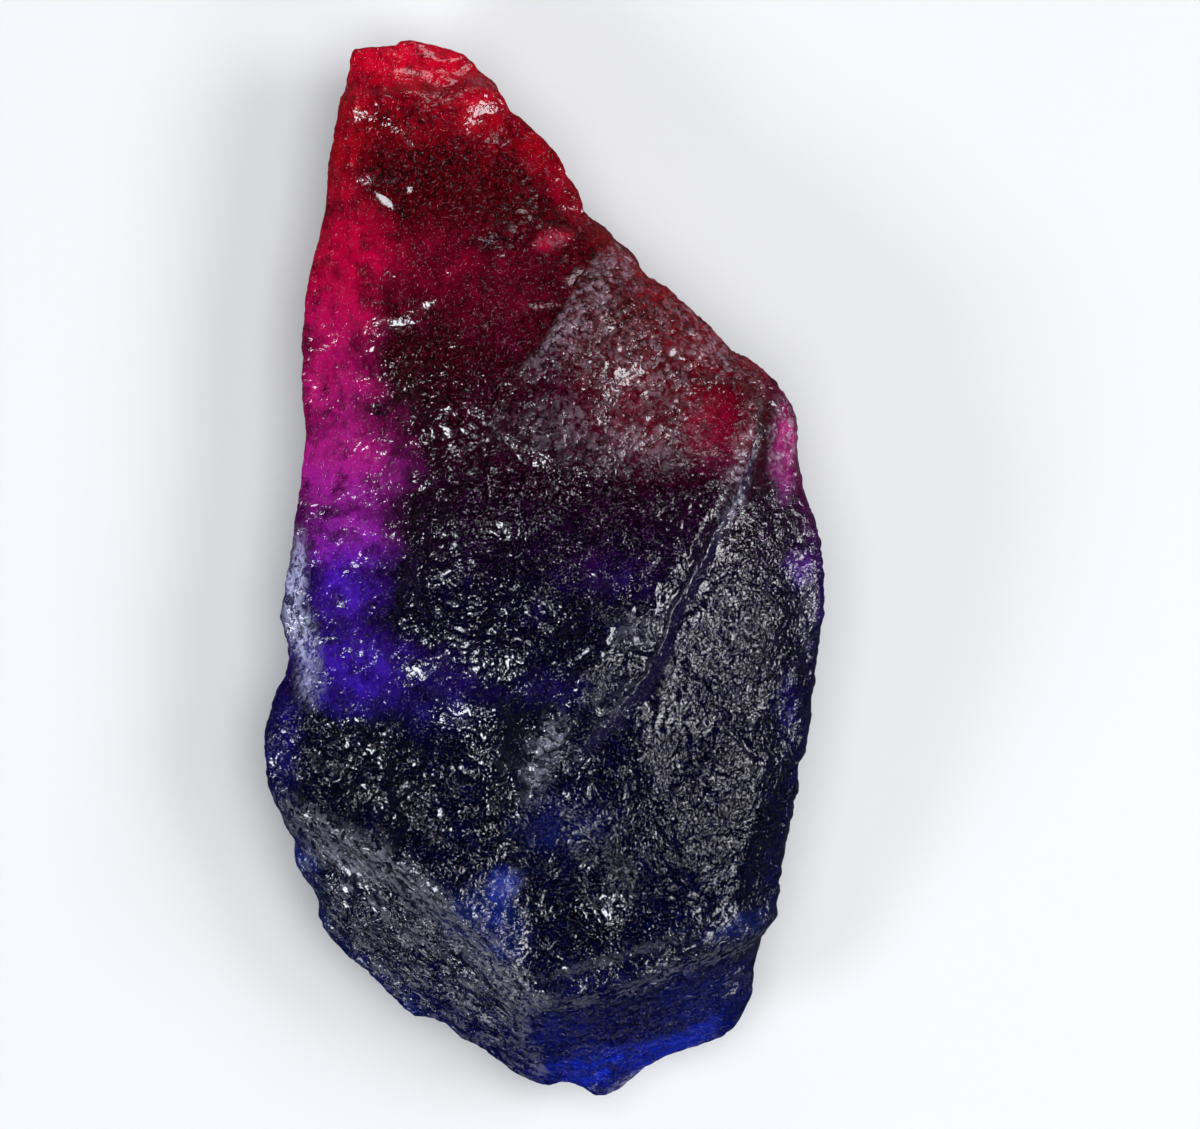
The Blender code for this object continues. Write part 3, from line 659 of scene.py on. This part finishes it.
# the sheen face starts at a ragged cliff, and the red face left of it is smooth
cliff_gap, cliff_side = along_line(CLIFF, wander[:, 0], wander[:, 1])
beyond = np.clip(0.5 + cliff_gap * cliff_side / 0.6, 0, 1)
near_cliff = np.clip((sy - 228) / 30, 0, 1) * np.clip((392 - sy) / 40, 0, 1) * is_top
near_cliff *= np.clip((9.0 - cliff_gap) / 3.0, 0, 1)
frost = frost * (1 - near_cliff) + near_cliff * beyond
smooth = smooth * (1 - near_cliff) + near_cliff * (1 - beyond) * 0.9
# painted sheen: a paler strip right of the cliff, fading away from it
fading = np.clip((6.0 - cliff_gap) / 5.0 + 0.8 * fbm(spots, 2.2, 3, 231), 0, 1)
painted_sheen = np.maximum(painted_sheen * (1 - near_cliff * (1 - beyond)), near_cliff * beyond * 0.85 * fading)
groove_gap, groove_side = along_line(GROOVE, wander[:, 0], wander[:, 1])
groove_at = groove_gap * groove_side  # mm, + on the right of the groove
groove_ends = np.clip((sy - 425) / 30, 0, 1) * np.clip((785 - sy) / 30, 0, 1) * is_top
groove_half = np.interp(sy, [430, 520, 600, 760], [0.26, 0.34, 0.50, 0.70]) * (1 + 0.5 * fbm(spots, 1.8, 2, 223))
groove_fall = np.interp(sy, [430, 560, 760], [0.55, 0.50, 0.42]) * (1 + 0.5 * fbm(spots, 2.5, 2, 221))
band = np.clip(1.35 - groove_gap / groove_half, 0, 0.5) * 2 * groove_ends
for zone in (satin, painted_glow, smooth, painted_sheen, dark_spots_and_shade, painted_glint):
    zone *= np.where(is_top, 1.0, np.clip(spots[:, 2] / 12.0, 0, 1))

# painted light through the stone: the thin edge all round is painted a little brighter, as if a little light came
# through
all_gap, all_near = edge_gap(spots[:, :2])
thin = np.clip(1 - all_gap / 3.0, 0, 1) ** 1.5
painted_glow = np.maximum(
    painted_glow, 0.20 * thin * (1 - 0.85 * even) * (1 - 0.8 * streak_l) * np.where((sx > 700) & (sy > 620), 0.3, 1)
)
frost = np.maximum(frost, bold)

# the smooth faces run on without creases
inner = np.clip((top_gap - 0.4) / 2.0, 0, 1) * np.clip(1.5 * smooth[: len(top_xy)], 0, 1)
spots[: len(top_xy), 2] += (soft_z - crisp_z) * inner

# ---------------------------------------------------------------- fine relief, along the normals
normal = normals_of(spots, triangles)
p = spots
w = warp(p, 2.2, 0.7, 91)
rough_now = np.clip(0.75 + 0.25 * frost - 0.65 * smooth, 0.15, 1) * (1 - 0.25 * band)
relief = np.zeros(len(p))
# chips: cupped facets with sharp rims
cup = chips(w, 5.2, 101, 0.75)
relief -= (1.15 - 0.65 * even + 0.6 * bold) * (cup - 0.12) * (0.12 + 0.88 * rough_now)
small = chips(w, 2.1, 107, 0.8)
relief -= (0.50 - 0.20 * even + 0.35 * bold) * (small - 0.10) * rough_now
# lumps that meet in sharp valleys
dome = pebbles(warp(p, 1.1, 0.45, 113), 1.15, 117)
relief -= 0.13 * rough_now * (dome - 0.3)
# worms: crooked valleys between rounded backs
worm = np.minimum(1, np.abs(perlin(warp(p, 1.0, 0.4, 121) / 1.05, 127)) * 2.4)
relief += 0.15 * rough_now * (worm - 0.5)

# streaks on the two lower faces
for weight, (dx, dy), seed in ((streak_l, (0.74, -0.67), 141), (streak_r, (0.93, 0.36), 151)):
    along = p[:, 0] * dx + p[:, 1] * dy
    across = -p[:, 0] * dy + p[:, 1] * dx
    s = np.column_stack([along / 4.0, across / 0.9, p[:, 2] / 0.9])
    s2 = np.column_stack([along / 2.4, across / 0.5, p[:, 2] / 0.5])
    line = 0.20 * perlin(s, seed) + 0.10 * perlin(s2, seed + 3)
    relief = relief * (1 - 0.5 * weight) + line * weight * (1 - 0.6 * smooth)

spots = spots + normal * relief[:, None]

# the groove: the wall on its left falls to a floor that comes up level on its right
floor_at = np.clip(groove_at + groove_half, 0, 2 * groove_half) * groove_fall
wall = np.clip((-groove_half - groove_at) / 0.45, 0, 1)
wall = wall * wall * (3 - 2 * wall)
spots[:, 2] += (floor_at - 2 * groove_half * groove_fall) * (1 - wall) * groove_ends
# the cleft in the right face, and the slit under the ledge
for line, deep, half in (
    ([(716, 712), (728, 726), (738, 734), (752, 754)], 0.45, 0.55),
    ([(296, 824), (322, 838), (350, 851), (377, 868)], 0.80, 0.40),
):
    d, _ = along_line(line, wander[:, 0], wander[:, 1])
    spots[:, 2] -= np.where(is_top, deep * np.clip(1.2 - d / half, 0, 1), 0)

# the flat parting face that the stone lies on
spots[:, 2] = np.maximum(spots[:, 2], 0.0)

# the solid's box has its middle at the origin
middle = (spots.min(0) + spots.max(0)) / 2
spots[:, 0] -= middle[0]
spots[:, 1] -= middle[1]

mesh = bpy.data.meshes.new("crystal_surface")
mesh.vertices.add(len(spots))
mesh.vertices.foreach_set("co", (spots * MM).ravel())
mesh.loops.add(len(triangles) * 3)
mesh.loops.foreach_set("vertex_index", triangles.ravel().astype(np.int32))
mesh.polygons.add(len(triangles))
mesh.polygons.foreach_set("loop_start", np.arange(0, len(triangles) * 3, 3, dtype=np.int32))
mesh.update(calc_edges=True)
mesh.validate()
mesh.shade_smooth()
print("surface:", len(mesh.polygons), "triangles,", len(mesh.vertices), "points")


def attribute(name, values):
    layer = mesh.attributes.new(name, "FLOAT", "POINT")
    layer.data.foreach_set("value", np.asarray(values, dtype=np.float32))


# the red reaches further down the stone on its right side
lag = 0.15 * np.clip((sx - 555) / 90, 0, 1) * np.clip((500 - sy) / 60, 0, 1)
lag *= 1 - 0.85 * np.clip((sx - 752) / 20, 0, 1)
for name, values in (
    ("painted_glow", painted_glow), ("frost", frost), ("smooth", smooth), ("painted_sheen", painted_sheen), ("satin", satin),
    ("band", band), ("dark_spots_and_shade", dark_spots_and_shade), ("painted_glint", painted_glint), ("streak_l", streak_l),
    ("streak_r", streak_r), ("even", even), ("wedge", wedge),
    ("along", np.clip((sy - 40) / 1060 - lag, 0, 1)),
):
    attribute(name, values)

crystal = bpy.data.objects.new("crystal_surface", mesh)
bpy.context.scene.collection.objects.link(crystal)
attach(crystal, "root")
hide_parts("crystal")


# ---------------------------------------------------------------- material
def make_sapphire():
    mat = bpy.data.materials.new("sapphire_rough")
    mat.use_nodes = True
    nt = mat.node_tree
    nodes, links = nt.nodes, nt.links
    shader = next(n for n in nodes if n.type == "BSDF_PRINCIPLED")

    def node(kind, **values):
        made = nodes.new(kind)
        for key, value in values.items():
            setattr(made, key, value)
        return made

    def value_of(name):
        return node("ShaderNodeAttribute", attribute_name=name).outputs["Fac"]

    def math_node(operation, a, b=None, c=None, clamp=False):
        made = node("ShaderNodeMath", operation=operation, use_clamp=clamp)
        for socket, source in zip(made.inputs, (a, b, c)):
            if source is None:
                continue
            if isinstance(source, (int, float)):
                socket.default_value = source
            else:
                links.new(source, socket)
        return made.outputs[0]

    def noise(scale, detail, rough=0.5, distortion=0.0, vector=None):
        made = node("ShaderNodeTexNoise")
        made.inputs["Scale"].default_value = scale
        made.inputs["Detail"].default_value = detail
        made.inputs["Roughness"].default_value = rough
        made.inputs["Distortion"].default_value = distortion
        links.new(vector or place, made.inputs["Vector"])
        return made.outputs["Fac"]

    def ramp(source, stops, interpolation="LINEAR"):
        made = node("ShaderNodeValToRGB")
        made.color_ramp.interpolation = interpolation
        elements = made.color_ramp.elements
        while len(elements) > 1:
            elements.remove(elements[-1])
        elements[0].position, elements[0].color = stops[0][0], (*stops[0][1], 1)
        for position, colour in stops[1:]:
            elements.new(position).color = (*colour, 1)
        links.new(source, made.inputs["Fac"])
        return made.outputs["Color"]

    def mapped(source, a, b, c, d):
        made = node("ShaderNodeMapRange", clamp=True)
        for socket, value in zip(list(made.inputs)[1:5], (a, b, c, d)):
            socket.default_value = value
        links.new(source, made.inputs["Value"])
        return made.outputs["Result"]

    def mixed(factor, a, b, blend="MIX"):
        made = node("ShaderNodeMix", data_type="RGBA", blend_type=blend)
        made.clamp_factor = True
        for socket, source in zip((made.inputs[0], made.inputs[6], made.inputs[7]), (factor, a, b)):
            if isinstance(source, (int, float)):
                socket.default_value = source
            elif isinstance(source, tuple):
                socket.default_value = (*source, 1)
            else:
                links.new(source, socket)
        return made.outputs[2]

    coordinates = node("ShaderNodeTexCoord")
    to_millimetres = node("ShaderNodeMapping")
    to_millimetres.inputs["Scale"].default_value = (1000, 1000, 1000)
    links.new(coordinates.outputs["Object"], to_millimetres.inputs["Vector"])
    place = to_millimetres.outputs["Vector"]

    (painted_glow_at, frost_at, smooth_at, painted_sheen_at, satin_at, band_at, dark_spots_and_shade_at, painted_glint_at, left_at,
     right_at, even_at, wedge_at, along_at) = (value_of(k) for k in (
        "painted_glow", "frost", "smooth", "painted_sheen", "satin", "band", "dark_spots_and_shade", "painted_glint", "streak_l",
        "streak_r", "even", "wedge", "along"))

    # places that wander, for everything that is crooked or drawn out
    warp_noise = node("ShaderNodeTexNoise")
    warp_noise.inputs["Scale"].default_value = 1.3
    warp_noise.inputs["Detail"].default_value = 1.0
    links.new(place, warp_noise.inputs["Vector"])
    shift = node("ShaderNodeVectorMath", operation="SUBTRACT")
    links.new(warp_noise.outputs["Color"], shift.inputs[0])
    shift.inputs[1].default_value = (0.5, 0.5, 0.5)
    scaled = node("ShaderNodeVectorMath", operation="SCALE")
    links.new(shift.outputs[0], scaled.inputs[0])
    scaled.inputs["Scale"].default_value = 1.4
    warped = node("ShaderNodeVectorMath", operation="ADD")
    links.new(place, warped.inputs[0])
    links.new(scaled.outputs[0], warped.inputs[1])

    def away_from_middle(source):
        return math_node("ABSOLUTE", math_node("SUBTRACT", source, 0.5))

    def drawn_out(turn, stretch):
        """Places turned by an angle and squeezed along it, so that noise is drawn out there."""
        turned = node("ShaderNodeMapping", vector_type="TEXTURE")
        turned.inputs["Rotation"].default_value = (0, 0, math.radians(turn))
        turned.inputs["Scale"].default_value = (stretch, 1, 1)
        links.new(warped.outputs[0], turned.inputs["Vector"])
        return turned.outputs["Vector"]

    # colour runs from the red tip to the blue foot, and wanders as it goes
    wander = noise(0.16, 3.0)
    along_now = math_node("MULTIPLY_ADD", wander, 0.07, math_node("SUBTRACT", along_at, 0.035))
    # the colour painted where light comes through the stone; the deep ramp below is its unlit body
    bright = ramp(along_now, [
        (0.00, (0.62, 0.002, 0.026)), (0.11, (0.42, 0.001, 0.010)), (0.21, (0.52, 0.001, 0.045)),
        (0.29, (0.44, 0.003, 0.100)), (0.39, (0.40, 0.010, 0.210)), (0.46, (0.26, 0.012, 0.330)),
        (0.51, (0.07, 0.008, 0.420)), (0.66, (0.020, 0.008, 0.340)), (0.80, (0.012, 0.040, 0.380)),
        (1.00, (0.002, 0.015, 0.460)),
    ])
    deep = ramp(along_now, [
        (0.00, (0.160, 0.000, 0.005)), (0.14, (0.050, 0.000, 0.0015)), (0.28, (0.028, 0.0001, 0.003)),
        (0.38, (0.014, 0.0003, 0.005)), (0.46, (0.006, 0.0006, 0.009)), (0.52, (0.002, 0.0008, 0.011)),
        (0.74, (0.001, 0.001, 0.009)), (0.86, (0.0006, 0.0009, 0.014)), (1.00, (0.0004, 0.001, 0.050)),
    ])
    # turned out of the noise's own lattice, which shows as rows of dots on a level face
    tilted = node("ShaderNodeMapping")
    tilted.inputs["Rotation"].default_value = (0.7, 0.5, 0.3)
    links.new(warped.outputs[0], tilted.inputs["Vector"])
    cloud = noise(0.50, 5.0, 0.62, 0.3, tilted.outputs["Vector"])
    fine_cloud = noise(1.9, 3.0, 0.6)
    deep = mixed(1.0, deep, ramp(fine_cloud, [(0.34, (0.25,) * 3), (0.50, (0.9,) * 3), (0.66, (2.0,) * 3)]), "MULTIPLY")
    # painted light through the stone, stronger in clouds
    painted_glow_now = math_node("MULTIPLY", painted_glow_at, mapped(cloud, 0.34, 0.62, 0.30, 1.30))
    painted_glow_now = math_node("ADD", painted_glow_now, math_node("MULTIPLY", mapped(cloud, 0.54, 0.80, 0.0, 1.0), 0.07))
    painted_glow_now = math_node("MULTIPLY", painted_glow_now, mapped(fine_cloud, 0.30, 0.62, 0.74, 1.10), clamp=True)
    # the painted light through the blue lower right face has dark streaks in it
    streaked = mapped(noise(1.1, 3.0, 0.6, 0.0, drawn_out(18, 3.5)), 0.40, 0.58, -0.70, 0.12)
    painted_glow_now = math_node("MULTIPLY", painted_glow_now, math_node("MULTIPLY_ADD", right_at, streaked, 1.0), clamp=True)
    body = mixed(painted_glow_now, deep, bright)
    # painted shade: the groove's floor is darkened to a deep violet
    body = mixed(math_node("MULTIPLY", band_at, 0.85), body, (0.009, 0.006, 0.030))
    # dark spots in the stone, and painted shade in the lower hollow and the pit
    body = mixed(
        math_node("MULTIPLY", dark_spots_and_shade_at, mapped(fine_cloud, 0.36, 0.56, 1.0, 0.35), clamp=True),
        body, (0.0006, 0.0004, 0.0008))

    # painted sheen: the satin ridges and the streaked faces are painted slate grey in fine lines
    slate = mapped(noise(2.2, 3.0, 0.6, 0.0, drawn_out(-38, 5.0)), 0.47, 0.55, 0.0, 1.0)
    slate_right = mapped(noise(2.6, 3.0, 0.6, 0.0, drawn_out(18, 7.0)), 0.48, 0.58, 0.0, 0.85)
    clumps = math_node("MULTIPLY", left_at, mapped(noise(0.9, 3.0, 0.6, 0.0, drawn_out(-38, 2.0)), 0.46, 0.57, 0.0, 0.85))
    sheen_lines_left = math_node("MULTIPLY", slate, math_node("MAXIMUM", satin_at, clumps))
    sheen_lines_right = math_node("MULTIPLY", slate_right, math_node("MAXIMUM", satin_at, math_node("MULTIPLY", right_at, 0.12)))
    sheen_lines = node("ShaderNodeMix", data_type="FLOAT")
    links.new(math_node("MULTIPLY", math_node("SUBTRACT", right_at, left_at), 1.6, clamp=True), sheen_lines.inputs[0])
    links.new(sheen_lines_left, sheen_lines.inputs[2])
    links.new(sheen_lines_right, sheen_lines.inputs[3])
    body = mixed(sheen_lines.outputs[0], body, (0.115, 0.122, 0.155))

    # worms: crooked valleys between rounded backs, about 0.4 mm apart
    worms = node("ShaderNodeMix", data_type="FLOAT")
    links.new(even_at, worms.inputs[0])
    links.new(math_node("MULTIPLY", away_from_middle(noise(0.95, 0.0, 0.5, 0.0, warped.outputs[0])), 1.35), worms.inputs[2])
    links.new(away_from_middle(noise(1.30, 0.0, 0.5, 0.0, warped.outputs[0])), worms.inputs[3])

    # painted sheen in patches, on the backs of the worms, and the white of the painted glints
    sheen_patches = math_node("MULTIPLY", painted_sheen_at, mapped(noise(1.1, 4.0, 0.65), 0.42, 0.58, 0.12, 1.0))
    sheen_patches = math_node("MULTIPLY", sheen_patches, mapped(worms.outputs[0], 0.04, 0.16, 0.05, 1.0), clamp=True)
    sheen_colour = ramp(along_now, [(0.25, (0.46, 0.33, 0.42)), (0.50, (0.34, 0.35, 0.46))])
    sheen_over_body = mixed(0.60, body, sheen_colour)
    colour = mixed(sheen_patches, body, sheen_over_body)
    # painted reflection: the streaked wedge on the left edge, white-blue in fine lines down it
    wedge_lines = mapped(noise(2.4, 3.0, 0.65, 0.0, drawn_out(82, 3.5)), 0.42, 0.60, 0.05, 0.95)
    colour = mixed(math_node("MULTIPLY", wedge_at, wedge_lines, clamp=True), colour, (0.50, 0.51, 0.76))
    # painted glints: fine curled threads of a paler colour on the smooth faces
    glint_threads = math_node("ABSOLUTE", math_node("SUBTRACT", noise(1.6, 1.0, 0.5, 0.9), 0.5))
    glint_threads = math_node("MULTIPLY", mapped(glint_threads, 0.004, 0.012, 1.0, 0.0), mapped(noise(1.1, 2.0), 0.58, 0.64, 0.0, 1.0))
    glint_threads = math_node("MULTIPLY", glint_threads, math_node("MULTIPLY", smooth_at, 0.28))
    colour = mixed(glint_threads, colour, (0.60, 0.50, 0.58))
    # painted glints: two small white flecks near the tip
    painted_glint_now = math_node("ADD", painted_glint_at, math_node("MULTIPLY_ADD", noise(4.5, 3.0, 0.6), 1.8, -0.9))
    painted_glint_now = math_node("MULTIPLY", mapped(painted_glint_now, 0.42, 0.60, 0.0, 0.90), mapped(painted_glint_at, 0.0, 0.2, 0.0, 1.0))
    colour = mixed(painted_glint_now, colour, (0.70, 0.67, 0.69))

    # finer worms on the backs of the others
    fine_worms = away_from_middle(noise(2.7, 0.0, 0.5, 0.0, warped.outputs[0]))
    lumpy = math_node("MULTIPLY_ADD", fine_worms, 0.22, worms.outputs[0])
    lined_left = math_node("MAXIMUM", left_at, math_node("MULTIPLY", satin_at, math_node("SUBTRACT", 1.0, right_at)))
    for turn, weight in ((-40, lined_left), (20, right_at)):
        lines = noise(2.6, 1.0, 0.5, 0.0, drawn_out(turn, 5.0))
        lumpy_now = node("ShaderNodeMix", data_type="FLOAT")
        links.new(math_node("MULTIPLY", weight, 0.75), lumpy_now.inputs[0])
        links.new(lumpy, lumpy_now.inputs[2])
        links.new(lines, lumpy_now.inputs[3])
        lumpy = lumpy_now.outputs[0]
    amount = math_node("MULTIPLY_ADD", frost_at, 0.40, 0.60)
    amount = math_node("SUBTRACT", amount, math_node("MULTIPLY", smooth_at, 0.50))
    # in patches of a few millimetres the crinkle fades, and the stone's colour shows
    patches = noise(0.55, 3.0, 0.55)
    patch_now = node("ShaderNodeMix", data_type="FLOAT")
    links.new(even_at, patch_now.inputs[0])
    links.new(mapped(patches, 0.45, 0.565, 0.08, 1.30), patch_now.inputs[2])
    links.new(mapped(patches, 0.36, 0.54, 0.50, 1.10), patch_now.inputs[3])
    amount = math_node("MULTIPLY", amount, patch_now.outputs[0])
    amount = math_node("MAXIMUM", math_node("SUBTRACT", amount, math_node("MULTIPLY", band_at, 0.15)), 0.08)
    height = math_node("MULTIPLY", lumpy, amount)
    # scattered grains, which glint
    grains = mapped(noise(4.6, 0.0), 0.62, 0.78, 0.0, 0.22)
    height = math_node("ADD", height, grains)

    bump = node("ShaderNodeBump")
    bump.inputs["Distance"].default_value = 0.00038
    bump.inputs["Strength"].default_value = 1.0
    links.new(height, bump.inputs["Height"])
    links.new(bump.outputs["Normal"], shader.inputs["Normal"])

    rough = mapped(noise(0.8, 3.0), 0.3, 0.7, 0.09, 0.15)
    rough = math_node("MULTIPLY_ADD", satin_at, 0.08, rough)
    rough = math_node("MULTIPLY_ADD", band_at, 0.04, rough)
    rough = math_node("MULTIPLY_ADD", painted_sheen_at, 0.05, rough)

    links.new(colour, shader.inputs["Base Color"])
    links.new(rough, shader.inputs["Roughness"])
    shader.inputs["IOR"].default_value = 1.76
    shader.inputs["Metallic"].default_value = 0.0
    shader.inputs["Subsurface Weight"].default_value = 0.4
    shader.inputs["Subsurface Radius"].default_value = (1.0, 0.45, 0.8)
    shader.inputs["Subsurface Scale"].default_value = 0.001
    return mat


mesh.materials.append(make_sapphire())


# ---------------------------------------------------------------- floor, light, camera
def plain(name, colour, roughness):
    mat = bpy.data.materials.new(name)
    mat.use_nodes = True
    shader = next(n for n in mat.node_tree.nodes if n.type == "BSDF_PRINCIPLED")
    shader.inputs["Base Color"].default_value = (*colour, 1)
    shader.inputs["Roughness"].default_value = roughness
    shader.inputs["Specular IOR Level"].default_value = 0.2
    return mat


floor_mesh = bpy.data.meshes.new("floor")
half = 1.5
floor_mesh.from_pydata(
    [(-half, -half, 0), (half, -half, 0), (half, half, 0), (-half, half, 0)], [], [(0, 1, 2, 3)]
)
floor = bpy.data.objects.new("floor", floor_mesh)
floor.location.z = -0.00005
floor.visible_glossy = False  # the stone's gloss shows the dark of the room, not the floor
floor_mesh.materials.append(plain("floor_white", (0.70, 0.71, 0.72), 0.8))
bpy.context.scene.collection.objects.link(floor)


def softbox(name, lean, bearing, away, width, height, radiance, colour=(1, 1, 1)):
    """A box that faces the stone, at degrees from straight up and a bearing from +X towards +Y."""
    a, b = math.radians(lean), math.radians(bearing)
    place = Vector((math.sin(a) * math.cos(b), math.sin(a) * math.sin(b), math.cos(a))) * away
    data = bpy.data.lights.new(name, "AREA")
    data.shape = "RECTANGLE"
    data.size, data.size_y = width, height
    data.energy = radiance * width * height * math.pi
    data.color = colour
    lamp = bpy.data.objects.new(name, data)
    lamp.location = place
    lamp.rotation_mode = "QUATERNION"
    lamp.rotation_quaternion = (-place).to_track_quat("-Z", "Y")
    lamp.visible_camera = False
    bpy.context.scene.collection.objects.link(lamp)
    return lamp


softbox("key", 50, 8, 1.6, 0.68, 0.68, 8.0, (0.95, 0.94, 1.0))
softbox("low_right", 56, -36, 1.6, 0.62, 0.48, 5.8, (0.95, 0.96, 1.0))
softbox("top", 66, 88, 1.6, 0.6, 0.36, 3.0, (0.96, 0.92, 1.0))
softbox("glint", 54, 208, 1.6, 0.50, 0.46, 13.0, (0.90, 0.94, 1.0))
softbox("low_left", 84, 236, 1.5, 0.7, 0.20, 4.0, (0.93, 0.96, 1.0))
fill = softbox("fill", 4, 0, 1.5, 1.1, 1.1, 5.1)
fill.visible_glossy = False  # it lifts the colour, and leaves the gloss dark straight above

world = bpy.data.worlds.new("studio")
bpy.context.scene.world = world
world.use_nodes = True
wt = world.node_tree
background = next(n for n in wt.nodes if n.type == "BACKGROUND")
wc = wt.nodes.new("ShaderNodeTexCoord")
wsep = wt.nodes.new("ShaderNodeSeparateXYZ")
wt.links.new(wc.outputs["Generated"], wsep.inputs["Vector"])
# a pale band round the horizon under a dark ceiling, weakest towards the foot of the stone
wlow = wt.nodes.new("ShaderNodeMapRange")
wlow.interpolation_type = "SMOOTHSTEP"
for socket, value in zip(list(wlow.inputs)[1:5], (0.02, 0.22, 0.05, 0.002)):
    socket.default_value = value
wside = wt.nodes.new("ShaderNodeMapRange")
for socket, value in zip(list(wside.inputs)[1:5], (-0.8, 0.6, 0.10, 1.0)):
    socket.default_value = value
wt.links.new(wsep.outputs["Z"], wlow.inputs["Value"])
wt.links.new(wsep.outputs["Y"], wside.inputs["Value"])
wband = wt.nodes.new("ShaderNodeMath")
wband.operation = "MULTIPLY"
wt.links.new(wlow.outputs["Result"], wband.inputs[0])
wt.links.new(wside.outputs["Result"], wband.inputs[1])
# the backdrop itself is pale, and the dark ceiling shows only in the stone's gloss
wpath = wt.nodes.new("ShaderNodeLightPath")
wmix = wt.nodes.new("ShaderNodeMix")
wmix.data_type = "RGBA"
wmix.inputs[7].default_value = (0.90, 0.91, 0.93, 1)
wt.links.new(wpath.outputs["Is Camera Ray"], wmix.inputs[0])
wt.links.new(wband.outputs[0], wmix.inputs[6])
wt.links.new(wmix.outputs[2], background.inputs["Color"])
background.inputs["Strength"].default_value = 1.0

DISTANCE = 0.80  # from the camera to the height of the outline
camera_data = bpy.data.cameras.new("camera")
camera_data.sensor_width = 36.0
camera_data.lens = 36.0 * DISTANCE / 0.120
camera_data.clip_start, camera_data.clip_end = 0.01, 10
camera = bpy.data.objects.new("camera", camera_data)
camera.location = (0.00565, 0.00045, DISTANCE + 0.012)
bpy.context.scene.collection.objects.link(camera)
bpy.context.scene.camera = camera
bpy.context.scene.view_settings.view_transform = "Standard"
bpy.context.scene.view_settings.look = "None"
